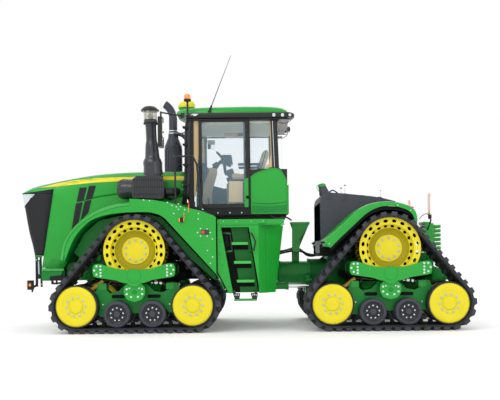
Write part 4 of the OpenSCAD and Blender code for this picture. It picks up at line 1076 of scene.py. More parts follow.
for p in arm:
    front.lathe([(0, -19.5), (14, -14), (19.5, 0), (14, 14), (0, 19.5)], p, MATT, "y", 16)
front.prism(slab(-3954, 889, -3866, 731, 3), -1213, -1127, MATT)
front.plate([(-3968, 880), (-3953, 886), (-3953, 734), (-3966, 740)], 4, -1206, -1134, AMBER)
front.prism(slab(-3930, 838, -3894, 790, 10), -1220, -1212, AMBER)
front.plate([(-3896, 733), (-3868, 733), (-3872, 690), (-3890, 690)], 5, -1192, -1156, MATT)
front.mirror(*mark)
front.build(FRONT, edge=2.5, slot="chassis_paint")

# chassis in the deep-shade green and engine in near black: painted shade under the body
for node, mat in (("front_chassis", DEEP_SHADE), ("rear_chassis", DEEP_SHADE), ("engine", SHADOW_BLACK),
        ("articulation_hub", SHADE), ("left_steering_cylinder", SHADE),
        ("right_steering_cylinder", SHADE), ("left_steering_rod", CHROME), ("right_steering_rod", CHROME),
        ("drawbar", GREEN)):
    paint(node, mat)

# ------------------------------------------------------------------ cab

paint("cab_windows", GLASS)
paint("cab_frame", BLACK)
paint("cab_panels", GREEN)
paint("steering_wheel", BLACK)

cab = Piece("cab_shell")
mark = cab.mark()
# A pillar cover, header and floor band with its bolts
cab.plate([(-1244, 3610), (-1160, 3610), (-1166, 2500), (-1176, 2110), (-1244, 2110)], 12, -866, -848,
    MATT)
cab.prism(slab(-1246, 2104, 456, 1968, 8), -874, -848, MATT)
for k in range(8):
    cab.bolt((-1160 + k * 205, -874, 2010), 9, 7)
for x in (-760, -120):
    cab.plate([(x, 1980), (x + 120, 1980), (x + 112, 1950), (x + 8, 1950)], 4, -860, -700, MATT)
# corner panel: raised edge, crease and lower bow
cab.tube(smooth_line([(-170, -884, 1990), (-172, -885, 2560), (-160, -885, 2632), (-60, -885, 2698),
    (190, -885, 2768), (320, -885, 2742), (396, -885, 2636), (441, -885, 2480), (446, -885, 1992)], 40),
    9, GREEN, 10)
cab.tube(smooth_line([(-170, -882, 2180), (60, -884, 2160), (300, -884, 2170), (446, -882, 2196)], 50), 4,
    HOSE, 8)
cab.prism([(-150, 2020), (430, 2020), (430, 2140), (300, 2128), (60, 2120), (-150, 2136)], -890, -880,
    SHADE)
# C pillar and rear window rail
cab.plate([(200, 3600), (286, 3600), (312, 2780), (226, 2780)], 10, -868, -848, BLACK)
cab.tube([(232, -868, 2790), (204, -868, 3590)], 5, ZINC, 8)
cab.mirror(*mark)
# door post, hinges and the working lights' rail
cab.prism(slab(-204, 3612, -192, 2110, 3), -880, -846, MATT)
cab.rod((-1290, -905, 3618), (520, -905, 3618), 8, BLACK)
cab.rod((-1290, 905, 3618), (520, 905, 3618), 8, BLACK)
cab.build(FRONT, edge=2, slot="trim_black")

# roof: a crowned cap over a dark band that holds the lamps
roof = Piece("roof_cap")


def cap_row(x, half, top, low):
    """One line of points over the roof from left to right."""
    return [Vector((x, half * y, low + (top - low) * h)) for y, h in ((-1, 0), (-0.995, 0.35),
        (-0.965, 0.6), (-0.9, 0.78), (-0.75, 0.9), (-0.45, 0.98), (0, 1), (0.45, 0.98), (0.75, 0.9),
        (0.9, 0.78), (0.965, 0.6), (0.995, 0.35), (1, 0))]


caps = [(-1500, 300, 3850), (-1490, 380, 3868), (-1440, 490, 3880), (-1360, 600, 3886),
    (-1260, 690, 3888), (-1120, 760, 3892), (-940, 790, 3896), (-700, 800, 3896), (-300, 805, 3904),
    (0, 802, 3902), (220, 790, 3890), (360, 768, 3872), (440, 742, 3838), (482, 716, 3790),
    (498, 702, 3760), (503, 690, 3740)]
rows = [cap_row(x, half, top, 3736 + max(0, -1250 - x) * 0.32) for x, half, top in caps]
roof.skin([[Vector((p.x, p.y, 3814)) for p in rows[0]]] + rows + [[Vector((p.x, p.y, 3737))
    for p in rows[-1]]], GREEN)
roof.skin([[r[0], r[-1]] for r in rows], GREEN)


def band_row(z, out):
    """The lamp band's outline at a height, out by so much."""
    half, front_x, back_x = 876 + out, -1262 - out, 546 + out
    line = []
    for cx, cy, a0 in ((front_x + 120, -half + 120, 180), (back_x - 110, -half + 110, 270),
            (back_x - 110, half - 110, 0), (front_x + 120, half - 120, 90)):
        r = 120 if cx < -500 else 110
        for k in range(7):
            a = math.radians(a0 + 15 * k)
            line.append(Vector((cx + r * math.cos(a), cy + r * math.sin(a), z)))
        if a0 == 270:
            line += [Vector((back_x + dx, y, z)) for dx, y in ((-4, -690), (-50, -640), (-74, -600),
                (-80, 0), (-74, 600), (-50, 640), (-4, 690))]
    return line


roof.skin([band_row(z, out) for z, out in ((3641, -26), (3641, 18), (3650, 34), (3672, 42), (3702, 42),
    (3722, 34), (3734, 16), (3735, -20))], BLACK, wrap=True)
roof.prism([(-1226, 3730), (498, 3730), (498, 3742), (-1226, 3742)], -860, 860, BLACK)
mark = roof.mark()
# the oval lamp over the door, then the round ones
x, z, a, h = -1130, 3696, 78, 33
roof.skin([[Vector((x + (a + g) * math.cos(t), -920 + w, z + (h + g) * math.sin(t))) for t in turns(28)]
    for g, w in ((8, 6), (4, -3), (-2, -3), (-8, 2))], BLACK, wrap=True)
roof.skin([[Vector((x + a * s * math.cos(t), -917 - 2 * (1 - s), z + h * s * math.sin(t)))
    for t in turns(28)] for s in (1, 0.6, 0.02)], LENS, wrap=True)
for x, z, r in ((230, 3686, 32), (378, 3684, 32), (506, 3682, 28)):
    roof.lathe([(r + 9, 8), (r + 9, -3), (r, -4), (r - 2, 2)], (x, -918, z), BLACK, "y", 28)
    roof.lathe([(0, -4), (r * 0.6, -3), (r - 2, 0)], (x, -917, z), LENS, "y", 28)
roof.tube(smooth_line([(250, -915, 3650), (300, -919, 3560), (420, -919, 3540), (520, -917, 3590),
    (540, -912, 3648)], 24), 6, BLACK, 8)
roof.mirror(*mark)
for y in (-560, -300, 300, 560):
    for x, out, across, up, deep in ((-1302, 1, 84, 26, -20), (506, -1, 70, 24, -18)):
        rims = ((5, 4), (0, -2), (-6, 0), (deep, 0), (deep - 5, 0))
        roof.skin([[Vector((x + out * w, y + (across + g) * math.cos(t), 3688 + (up + g) * math.sin(t)))
            for t in turns(24)] for g, w in rims], LENS, wrap=True)
for side in (-1, 1):
    for z in (3641, 3723):
        y0, y1 = sorted((side * 862, side * 918))
        roof.prism([(-1372, y0), (-1306, y0), (-1306, y1), (-1372, y1)], z, z + 11, BLACK, "z")
# three low ribs across the cap
for x in (-700, -100, 300):
    z = between([(-1218, 3888), (-940, 3890), (0, 3894), (540, 3790)], x) - 4
    roof.tube(smooth_line([(x, -520, z), (x, 0, 3894), (x, 520, z)], 60), 6, SHADE, 8)
roof.build(FRONT, edge=1.5, stands_for="cab_roof", slot="body_paint")

# door: frame, seal, glass, handle and hinges
door = Piece("door_frame")
outer = slab(-1071, 3629, -205, 2097, 46)
inner = slab(-1022, 3582, -262, 2158, 40)
door.prism(outer, -884, -855, BLACK, holes=[inner])
door.tube([Vector((x, -880, z)) for x, z in inner] + [Vector((inner[0][0], -880, inner[0][1]))], 7, HOSE,
    8)
for z in (2240, 2850, 3460):
    door.rod((-205, -886, z), (-205, -886, z + 70), 9, MATT)
    door.prism(slab(-262, z + 62, -208, z + 8, 8), -892, -882, MATT)
door.tube([(-1050, -885, 2560), (-1050, -924, 2580), (-1050, -924, 2760), (-1050, -885, 2780)], 9, BLACK,
    12, 16)
door.prism(slab(-1064, 2800, -1034, 2540, 8), -890, -882, MATT)
door.plate([(-290, 2596), (-222, 2606), (-222, 2104), (-290, 2104)], 8, -892, -883, GREEN)
door.build("door", edge=2, stands_for="cab_door", slot="trim_black")
pane = Piece("door_pane")
pane.prism(slab(-1028, 3588, -257, 2152, 40), -874, -866, GLASS)
pane.build("door", edge=1, stands_for="cab_door", slot="glass")

# interior: headliner, pillar trims, dash, consoles, display, floor mat and pedals
room = Piece("cab_interior")
room.plate([(-1180, 3604), (330, 3604), (330, 3570), (-260, 3556), (-860, 3556), (-1180, 3580)], 12, -780,
    780, LINER)
room.plate([(-690, 3600), (-300, 3600), (-300, 3500), (-660, 3500)], 14, 300, 560, BEIGE)
room.prism(slab(-420, 3590, -310, 3510, 10), 290, 301, SCREEN)
# near-black strip along the headliner's right edge: painted shade
room.prism([(-1180, 3560), (430, 3560), (430, 3535), (-1180, 3535)], 784, 800, SHADOW_BLACK)
mark = room.mark()
room.plate([(-1160, 3604), (-1050, 3604), (-1016, 3500), (-1090, 2894), (-1140, 2300), (-1200, 2300),
    (-1200, 3082)], 14, -838, -790, BEIGE)
room.plate([(160, 3600), (240, 3600), (250, 3024), (320, 2790), (60, 2790), (150, 2877), (172, 3025)], 14,
    -838, -796, BEIGE)
room.plate([(-560, 2564), (-315, 2560), (-319, 2193), (-564, 2196)], 14, -800, -700, BEIGE)
room.plate([(-300, 2740), (300, 2790), (430, 2700), (430, 2130), (-300, 2130)], 30, -838, -800, MATT)
room.mirror(*mark)
room.box((-1220, -830, 2112), (430, 830, 2124), MATT)
room.plate([(-1200, 2124), (-300, 2124), (-300, 2640), (-700, 2560), (-1000, 2640), (-1200, 2700)], 20,
    770, 800, MATT)
room.plate([(-717, 3167), (-543, 3165), (-520, 3000), (-600, 2960), (-759, 3020)], 12, 380, 620, BLACK)
room.plate([(-640, 2860), (-520, 2900), (-480, 2780), (-600, 2740)], 24, 250, 420, OLIVE)
room.plate([(-650, 2720), (-500, 2740), (-450, 2650), (-600, 2610)], 24, 250, 420, OLIVE)
room.plate([(430, 2760), (400, 2760), (380, 2300), (300, 2124), (440, 2124)], 20, -790, 790, BEIGE)
room.plate([(-1215, 2740), (-1130, 2880), (-1000, 2890), (-930, 2820), (-1010, 2640), (-1080, 2500),
    (-1215, 2460)], 26, -760, 760, MATT)
room.plate([(-1080, 2124), (-905, 2124), (-886, 2500), (-803, 2775), (-802, 2868), (-995, 2870),
    (-1040, 2600)], 24, -120, 120, BEIGE)
room.plate([(-870, 2880), (-800, 2872), (-760, 2940), (-800, 2980), (-880, 2930)], 12, -150, 150, MATT)
room.tube([(-900, 0, 2836), (-712, 0, 3008)], 32, MATT, 20)
room.plate([(-640, 2124), (130, 2124), (130, 2620), (-100, 2660), (-640, 2640)], 40, 430, 650, BEIGE)
room.plate([(-600, 2640), (-150, 2660), (-170, 2752), (-560, 2766), (-640, 2716)], 24, 450, 610, MATT)
for k in range(6):
    room.prism(slab(-560 + 60 * k, 2778, -524 + 60 * k, 2756, 4), 480 + 8 * (k % 3), 560,
        (BLACK, AMBER, GREEN, BLACK, YELLOW, MATT)[k])
room.tube([(-590, 530, 2740), (-620, 540, 2800), (-668, 565, 2870)], 16, MATT, 14)
room.plate([(-704, 3060), (-664, 3066), (-640, 2810), (-680, 2804)], 12, 420, 720, MATT)
room.plate([(-714, 3048), (-703, 3050), (-680, 2826), (-690, 2824)], 4, 436, 704, SCREEN)
for y in (-205, -120, 195):
    room.plate([(-968, 2310), (-950, 2316), (-920, 2190), (-940, 2182)], 6, y - 38, y + 42, BLACK)
    room.tube([(-936, y, 2240), (-1000, y, 2180), (-1060, y, 2260)], 10, ZINC, 10)
room.rod((-300, 0, 2125), (-300, 0, 2300), 170, MATT, 40)
for z in (2150, 2190, 2230, 2270):
    room.lathe([(168, z - 14), (182, z), (168, z + 14)], (-300, 0, 0), HOSE, "z", 40)
room.plate([(-1000, 3470), (-860, 3470), (-860, 3290), (-1000, 3300)], 10, 560, 590, MIRROR)
room.build(FRONT, edge=3, stands_for="control_console", slot="console_plastic")

# steering wheel details, riding with the wheel
helm = Piece("steering_hub")
tilt = Euler((0, math.radians(47), 0)).to_matrix()
centre = Vector((-679, 0, 3038))
rim = [centre + tilt @ Vector((180 * math.cos(a), 180 * math.sin(a), 0)) for a in turns(48, 1)]
helm.tube(rim, 15.5, HOSE, 12)
helm.skin([[centre + tilt @ Vector((r * math.cos(a), r * math.sin(a), h)) for a in turns(32)]
    for r, h in ((50, -20), (52, 14), (46, 20), (20, 23), (1, 23))], MATT, wrap=True)
helm.build("steering_wheel", edge=0, slot="trim_black")

# seat: cushions swelled by the cloth solver over a base
SWELL_CAP, VOXEL = 0.0192, 0.016


def cushion(name, outline, half):
    """A sewn cushion: an outline in X and Z between two sides, swollen, with a crowned closed form."""
    piece = Piece(name)
    piece.plate(outline, 26, -half, half, LEATHER)
    obj = piece.build("seat", edge=0, parent=False)
    bpy.context.view_layer.objects.active = obj
    remesh = obj.modifiers.new("remesh", "REMESH")
    remesh.mode, remesh.voxel_size = "VOXEL", VOXEL
    apply_all(obj)
    swell(obj, SWELL_CAP)
    smooth = obj.modifiers.new("even", "SMOOTH")
    smooth.iterations = 6
    sub = obj.modifiers.new("fine", "SUBSURF")
    sub.levels = sub.render_levels = 1
    apply_all(obj)
    obj.data.shade_smooth()
    return obj


def apply_all(obj):
    """Turns an object's modifiers into its mesh."""
    graph = bpy.context.evaluated_depsgraph_get()
    done = bpy.data.meshes.new_from_object(obj.evaluated_get(graph))
    obj.modifiers.clear()
    obj.data = done


def swell(obj, cap):
    """Runs the cloth solver with pressure and no gravity, and keeps each point within cap metres."""
    rest = [v.co.copy() for v in obj.data.vertices]
    cloth = obj.modifiers.new("cloth", "CLOTH")
    cloth.settings.use_pressure = True
    cloth.settings.uniform_pressure_force = 4
    cloth.settings.effector_weights.gravity = 0
    cloth.point_cache.frame_start, cloth.point_cache.frame_end = 1, 20
    for step in range(1, 21):
        bpy.context.scene.frame_set(step)
    graph = bpy.context.evaluated_depsgraph_get()
    swollen = obj.evaluated_get(graph).to_mesh()
    moved = [v.co.copy() for v in swollen.vertices]
    obj.modifiers.clear()
    for vertex, a, b in zip(obj.data.vertices, rest, moved):
        step = b - a
        vertex.co = a + step * min(1.0, cap / max(step.length, 1e-6))
    bpy.context.scene.frame_set(1)


squab = cushion("seat_cushion", [(-545, 2750), (-540, 2655), (-80, 2645), (-70, 2725), (-300, 2732)], 232)
dress(squab, "seat", "operator_seat")
back = cushion("seat_back", [(-96, 2712), (-4, 2690), (150, 3150), (140, 3186), (76, 3190), (56, 3150)],
    222)
dress(back, "seat", "operator_seat")
chair = Piece("seat_base")
chair.rod((-300, 0, 2302), (-300, 0, 2560), 92, MATT, 36)
for z in (2330, 2380, 2430, 2480, 2530):
    chair.lathe([(92, z - 20), (108, z), (92, z + 20)], (-300, 0, 0), HOSE, "z", 36)
chair.plate([(-500, 2640), (-90, 2632), (-60, 2580), (-140, 2556), (-460, 2560)], 16, -215, 215, MATT)
mark = chair.mark()
chair.plate([(-420, 2928), (0, 2930), (4, 2888), (-400, 2886)], 18, -314, -256, MATT)
chair.plate([(-70, 2920), (-20, 2920), (-24, 2640), (-74, 2640)], 10, -260, -240, MATT)
chair.tube([(-40, -236, 2700), (30, -236, 2920), (108, -236, 3170)], 9, HOSE, 10)
chair.mirror(*mark)
for z in (2760, 2860, 2960, 3060):
    x = -96 + (z - 2712) * 0.335
    chair.tube(smooth_line([(x - 4, -206, z), (x - 13, -110, z + 2), (x - 14, 0, z + 3),
        (x - 13, 110, z + 2), (x - 4, 206, z)], 40), 3.5, HOSE, 8)
chair.build("seat", edge=2.5, stands_for="operator_seat", slot="seat_fabric")

# ------------------------------------------------------------------ air cleaner and exhaust

AIR_Y, STACK_Y, SHELF = -930, 840, 2166
cleaner = Piece("air_cleaner_body")
can = [(0, -2472), (60, -2470), (120, -2452), (150, -2420), (166, -2370), (170, -2330), (176, -2318),
    (176, -2286), (170, -2276), (170, -2180), (0, -2180)]
cleaner.lathe(can, (0, AIR_Y, 2430), INTAKE, "x", 48)
base = Vector((0, AIR_Y, 2430))
for a in turns(14):
    out = Vector((0, math.cos(a), math.sin(a)))
    ridge = ((70, -2468), (124, -2452), (154, -2420), (170, -2370), (172, -2330))
    cleaner.tube([base + out * r + Vector((x, 0, 0)) for r, x in ridge], 5, INTAKE, 8)
box = rounded([(-2190, 2266), (-1700, 2246), (-1650, 2290), (-1650, 2560), (-1700, 2640), (-2110, 2640),
    (-2180, 2590), (-2200, 2500)], 30)
cleaner.prism(box, AIR_Y - 194, AIR_Y + 194, INTAKE)
for k in range(14):
    x = -2160 + k * 38
    low, high = (2262, 2628) if 0 < k < 12 else (2290, 2560)
    cleaner.prism(slab(x - 8, high, x + 8, low, 6), AIR_Y - 211, AIR_Y + 211, INTAKE)
for z in (2330, 2450, 2570):
    cleaner.prism(slab(-2180, z + 8, -1660, z - 8, 6), AIR_Y - 205, AIR_Y + 205, MATT)
cleaner.plate([(-2060, 2270), (-1760, 2270), (-1790, SHELF), (-2030, SHELF)], 12, AIR_Y - 140,
    AIR_Y + 140, MATT)
cleaner.rod((-1640, AIR_Y + 60, 2330), (-1560, AIR_Y + 120, 2290), 60, HOSE, 28)
cleaner.tube(bent([(-1660, AIR_Y + 20, 2380), (-1560, AIR_Y + 60, 2380), (-1480, -640, 2400)], 60), 74,
    HOSE, 24)


FOOT, LEAN = (-1850, AIR_Y, 2640), 0.042


def leaning(piece, profile, mat):
    """Rings of a profile of (radius, height) round the stack's axis, which leans forward."""
    rows = []
    for r, z in profile:
        x = FOOT[0] - (z - FOOT[2]) * LEAN
        rows.append([Vector((x + r * math.cos(t), FOOT[1] + r * math.sin(t), z)) for t in turns(44)])
    piece.skin(rows, mat, wrap=True)


leaning(cleaner, [(168, 2636), (170, 2652), (160, 2664), (160, 2672), (166, 2690), (160, 2800),
    (162, 2850), (166, 2868), (160, 2900), (146, 2934), (130, 2960), (122, 3000), (116, 3100),
    (106, 3200), (100, 3212), (102, 3224), (94, 3240), (90, 3330), (92, 3500), (98, 3540), (104, 3552),
    (116, 3560), (116, 3604), (110, 3610), (112, 3620), (70, 3622), (1, 3622)], INTAKE)
leaning(cleaner, [(121, 3540), (124, 3548), (124, 3558), (121, 3566)], MATT)
leaning(cleaner, [(150, 3762), (156, 3768), (158, 3780), (150, 3792), (132, 3812), (112, 3830),
    (90, 3842), (40, 3848), (1, 3848)], BLACK)
leaning(cleaner, [(150, 3762), (110, 3764), (60, 3766), (1, 3766)], BLACK)
for a in turns(5):
    x, y = FOOT[0] + 100 * math.cos(a), AIR_Y + 100 * math.sin(a)
    cleaner.rod((x - 980 * LEAN, y, 3618), (x - 1130 * LEAN, y, 3766), 5, MATT, 8)
cleaner.build(FRONT, edge=1.5, stands_for="air_cleaner", slot="grey_plastic")
bowl = Piece("air_cleaner_bowl")
leaning(bowl, [(108, 3620), (112, 3640), (114, 3700), (110, 3750), (106, 3764)], BOWL)
leaning(bowl, [(30, 3622), (42, 3660), (60, 3690), (20, 3720), (24, 3764)], MATT)
bowl.build(FRONT, edge=0, stands_for="air_cleaner", slot="glass")

paint("exhaust_stack", STACK)
pipe = Piece("exhaust_fittings")
PIPE_X = -1680
for z, r in ((SHELF + 20, 170), (2500, 168), (2900, 168), (3370, 169)):
    pipe.lathe([(r - 6, z - 16), (r, z - 10), (r, z + 10), (r - 6, z + 16)], (PIPE_X, STACK_Y, 0), STACK,
        "z", 48)
for z, r in ((3640, 98), (3690, 86)):
    pipe.lathe([(r - 6, z - 12), (r + 4, z - 8), (r + 4, z + 8), (r - 6, z + 12)], (PIPE_X, STACK_Y, 0),
        ZINC, "z", 40)
for a in turns(18):
    x, y = PIPE_X + 168 * math.cos(a), STACK_Y + 168 * math.sin(a)
    pipe.rod((x, y, SHELF + 60), (x, y, 3340), 5, STACK, 8)
pipe.tube([(PIPE_X + 285, STACK_Y, 3400), (PIPE_X + 285, STACK_Y, 3480), (PIPE_X + 200, STACK_Y, 3600),
    (PIPE_X + 60, STACK_Y, 3650)], 36, STACK, 20, 60)
pipe.build(FRONT, edge=1, slot="exhaust_steel")

# ------------------------------------------------------------------ on the roof

dome = Piece("roof_equipment")
dome.rod((-1262, -820, 3720), (-1262, -820, 3968), 18, BLACK, 20)
dome.lathe([(58, 3952), (64, 3960), (64, 3984), (56, 3990), (0, 3990)], (-1262, -820, 0), BLACK, "z", 36)
dome.lathe([(56, 3984), (57, 4030), (52, 4056), (38, 4073), (18, 4080), (0, 4080)], (-1262, -820, 0),
    AMBER, "z", 36)
for a in turns(10):
    u, v = math.cos(a), math.sin(a)
    dome.rod((-1262 + 56 * u, -820 + 56 * v, 3992), (-1262 + 54 * u, -820 + 54 * v, 4046), 4, AMBER, 8)
rows = []
for z, s, shift in ((3972, 0.9, 0), (3980, 0.98, 0), (4000, 1.0, 0), (4030, 0.99, 4), (4052, 0.94, 10),
        (4068, 0.86, 18), (4084, 0.7, 26), (4100, 0.58, 34), (4108, 0.4, 34), (4110, 0.02, 34)):
    rows.append([Vector((-1345 + shift + 155 * s * math.copysign(abs(math.cos(t)) ** 0.6, math.cos(t)),
        150 * s * math.copysign(abs(math.sin(t)) ** 0.6, math.sin(t)), z)) for t in turns(40)])
dome.skin(rows, YELLOW, wrap=True, caps=True)
dome.rod((-1262, 0, 3740), (-1262, 0, 3980), 44, GREEN, 28)
dome.plate([(-1500, 3974), (-1190, 3974), (-1190, 3940), (-1440, 3930)], 12, -120, 120, GREEN)
dome.lathe([(34, 3770), (34, 3782), (20, 3790), (0, 3790)], (-880, -790, 0), BLACK, "z", 24)
dome.tube([(-880, -790, 3784), (-846, -790, 3880)], 15, BLACK, 14)
for k in range(7):
    t = k / 7
    dome.tube([(-880 + 34 * t, -790, 3790 + 90 * t), (-878 + 34 * t, -790, 3797 + 90 * t)], 19, MATT, 14)
dome.tube([(-846, -790, 3878), (-502, -790, 4748)], [8, 3.5], BLACK, 10)
dome.build(FRONT, edge=1, stands_for="roof_fittings", slot="trim_black")

# ------------------------------------------------------------------ platform, rails and steps

paint("platform_and_steps", GREEN)
side = Piece("platform_details")
RAILS = [([(-1560, -1264, 3070), (-1440, -1310, 2940), (-1140, -1310, 2940), (-1075, -1320, 2800),
    (-1010, -1320, 2060), (-735, -1320, 1830)], 18), ([(-1440, -1310, 2939), (-1440, -1310, 2160)], 16),
    ([(-735, -1320, 1811), (-735, -1320, 1845)], 20), ([(-668, -1370, 1652), (-530, -1372, 1640),
    (-500, -1372, 1350), (-608, -1370, 1335)], 13.6), ([(-225, -1400, 1655), (-170, -1460, 1640),
    (-110, -1460, 1500), (-140, -1460, 1350), (-190, -1400, 1330)], 13.6)]
for line, r in RAILS:
    side.tube(line, r, BLACK, 14)
    for p in line[1:-1]:
        side.lathe([(0, -r * 1.02), (r * 0.72, -r * 0.72), (r * 1.02, 0), (r * 0.72, r * 0.72),
            (0, r * 1.02)], p, BLACK, "y", 16)
# walls of the stairwell: near-black flanks beside the treads as painted shade, rounded tread lips in the
# lighter green as a painted highlight with painted shadow under each, seams and bolts
side.prism([(-686, 1744), (-520, 1744), (-372, 650), (-492, 650)], -1122, -1111, SHADOW_BLACK)
side.prism([(-236, 1744), (-218, 1744), (-40, 650), (-70, 650)], -1122, -1111, SHADOW_BLACK)
side.prism([(-500, 1744), (-244, 1744), (-70, 650), (-372, 650)], -1130, -1110, SHADE)
for x0, x1, z in ((-505, -236, 1489), (-470, -184, 1176), (-425, -136, 864)):
    side.plate([(x0, z + 6), (x1, z + 6), (x1 + 3, z - 38), (x0 + 3, z - 38)], 5, -1402, -1368, LIT_GREEN)
    side.prism([(x0 + 14, z - 34), (x1 - 4, z - 34), (x1 + 6, z - 118), (x0 + 40, z - 118)], -1150, -1128,
        SHADOW_BLACK)
    for k in range(9):
        x = x0 + 20 + k * (x1 - x0 - 40) / 8
        side.prism([(x - 6, z + 9), (x + 6, z + 9), (x + 6, z + 2), (x - 6, z + 2)], -1380, -1140, SHADE)
side.plate([(-640, 1700), (-590, 1700), (-560, 1420), (-610, 1420)], 16, -1136, -1120, MATT)
side.prism([(-744, 1786), (-744, 1772), (372, 1772), (372, 1786)], -1403, -1399, SHADE)
for x, z in ((-700, 1690), (-702, 1500), (-700, 1300), (-660, 1120), (-560, 760), (-150, 1700),
        (40, 1690), (-80, 1560)):
    side.bolt((x, -1400, z), 7, 6, STACK)
side.tube([(60, -1401, 1772), (60, -1401, 650)], 2.5, HOSE, 6)
side.tube([(-742, -1401, 1776), (-742, -1401, 1010), (-584, -1401, 696)], 2.5, HOSE, 6)
for x in (-468, -112):
    side.tube([(x, -1404, 700), (x, -1404, 640)], 22, HOSE, 14)
side.prism(slab(-743, 1876, 60, 1800, 6), -1402, -1386, GREEN)
side.prism([(60, 1876), (368, 1876), (368, 1790), (60, 1790)], -1388, -1376, GREEN)
side.prism([(-743, 1874), (60, 1874), (330, 1874), (330, 1868), (-743, 1868)], -1392, -860, GREEN)
for x in (-640, -420, -180, 20):
    side.bolt((x, -1402, 1842), 6, 5, STEEL)
# near-black sheets under the cab floor: painted shade
for y in (-846, 838):
    side.prism([(-1190, 1985), (440, 1985), (400, 1880), (330, 1820), (-760, 1820), (-1190, 1940)], y,
        y + 8, SHADOW_BLACK)
side.tube(smooth_line([(150, -870, 1950), (260, -960, 1900), (420, -900, 1920), (520, -700, 1880)], 30),
    14, HOSE, 10)
for k in range(26):
    x = -720 + k * 40
    side.box((x, -1380, 1811), (x + 9, -1000, 1816), SHADE)
side.build(FRONT, edge=1.5, slot="body_paint")

step = Piece("hanging_step")
step.prism(slab(-475, 545, -95, 516, 6), -1370, -1180, GREEN)
for k in range(10):
    step.box((-455 + k * 38, -1366, 545), (-447 + k * 38, -1184, 549), SHADE)
for x, strap in ((-430, [(-494, 639), (-372, 639), (-388, 540), (-460, 532)]),
        (-136, [(-200, 639), (-76, 639), (-94, 532), (-170, 540)])):
    for y in (-1350, -1220):
        step.plate(strap, 8, y - 9, y + 9, HOSE)
        for dx in (-30, 0, 30):
            step.bolt((x + dx, y - 9, 616), 8, 5)
step.build("lower_step", edge=1.5, stands_for="lower_step", slot="body_paint")

for name, sign in (("left_mirror", -1), ("right_mirror", 1)):
    paint(name, BLACK)
    look = Piece(name + "_face")
    y0, y1 = sorted((sign * 1150, sign * 1370))
    look.prism(slab(y0, 3580, y1, 3270, 20), -1641, -1637, MIRROR, "x")
    look.prism(slab(y0, 3240, y1, 3120, 16), -1641, -1637, MIRROR, "x")
    look.prism(slab(y0 - 10, 3592, y1 + 10, 3108, 24), -1716, -1708, MATT, "x")
    look.build(name, edge=1, slot="trim_black")

# pillar of ribbed hoses in front of the cab, with their clips
hoses = Piece("cab_hoses")
for k, (x, y) in enumerate(((-1290, -800), (-1270, -850), (-1330, -770), (-1256, -770))):
    line = smooth_line([(x - 40, y + 120, 2190), (x, y, 2360), (x + 24, y, 2800), (x + 30, y - 10, 3300),
        (x + 46, y, 3560), (x + 70, y + 10, 3640)], 30)
    radii = [24 + 3 * (i % 2) for i in range(len(line))]
    hoses.tube(line, radii, HOSE, 14)
for z in (2500, 2850, 3200, 3500):
    hoses.prism(slab(-1350, z + 14, -1230, z - 14, 8), -884, -740, MATT)
hoses.build(FRONT, edge=0, slot="trim_black")

# ------------------------------------------------------------------ tank and rear fenders

tank = Piece("tank_shell")
TANK_LINE = [(1090, 1432), (1040, 1432), (1028, 1700), (1030, 2222), (1046, 2292), (1082, 2338),
    (1130, 2352), (1274, 2347), (1456, 2333), (1729, 2303), (1911, 2283), (2116, 2249), (2320, 2194),
    (2380, 2158), (2060, 2150), (1780, 2100), (1500, 1905), (1110, 1500)]
tank.prism(rounded(TANK_LINE, 40, 5), -738, 738, TANK)
tank.build(REAR, edge=16, stands_for="fuel_tank", slot="tank_plastic")
fit = Piece("tank_fittings")
fit.prism(slab(1038, 1440, 1089, 1294, 12), -688, 688, TANK)
mark = fit.mark()
# ribs on the tank's upper side in the lighter stack grey: painted highlight
for x in (1130, 1385, 1690, 1990):
    top = 2352 - max(0, x - 1200) * 0.108
    fit.plate([(x, top - 120), (x + 58, top + 2), (x + 112, top - 4), (x + 92, top - 126)], 14, -744,
        -660, STACK)
    fit.plate([(x + 50, top + 8), (x + 112, top + 2), (x + 108, top - 30), (x + 44, top - 26)], 8, -700,
        -180, TANK)
for y0 in (-640, -300, 60, 400):
    fit.prism(slab(y0, 2180, y0 + 240, 1520, 30), 1021, 1040, TANK, "x")
fit.mirror(*mark)
fit.tube([(1120, -560, 2330), (1090, -560, 2430), (1076, -560, 2476)], [96, 74, 64], TANK, 32)
fit.tube([(1076, -560, 2470), (1068, -560, 2506)], 70, GREEN, 20)
fit.tube([(1068, -560, 2504), (1064, -560, 2522)], 46, GREEN, 16)
fit.tube(smooth_line([(1030, -560, 2506), (1000, -566, 2498), (980, -580, 2460), (1010, -590, 2400),
    (1060, -590, 2345)], 16), 5, GREEN, 8)
for x, h in ((1416, 2455), (1484, 2506), (2114, 2411)):
    fit.rod((x, -520, 2300 - (x > 2000) * 60), (x, -520, h - 14), 7, ZINC, 12)
    fit.lathe([(0, h), (14, h - 3), (16, h - 14), (9, h - 22)], (x, -520, 0), BLACK if x < 2000 else ZINC,
        "z", 16)
fit.tube(smooth_line([(1180, -480, 2350), (1260, -480, 2410), (1330, -480, 2380), (1390, -480, 2330)],
    20), 12, HOSE, 10)
fit.build(REAR, edge=2.5, slot="tank_plastic")

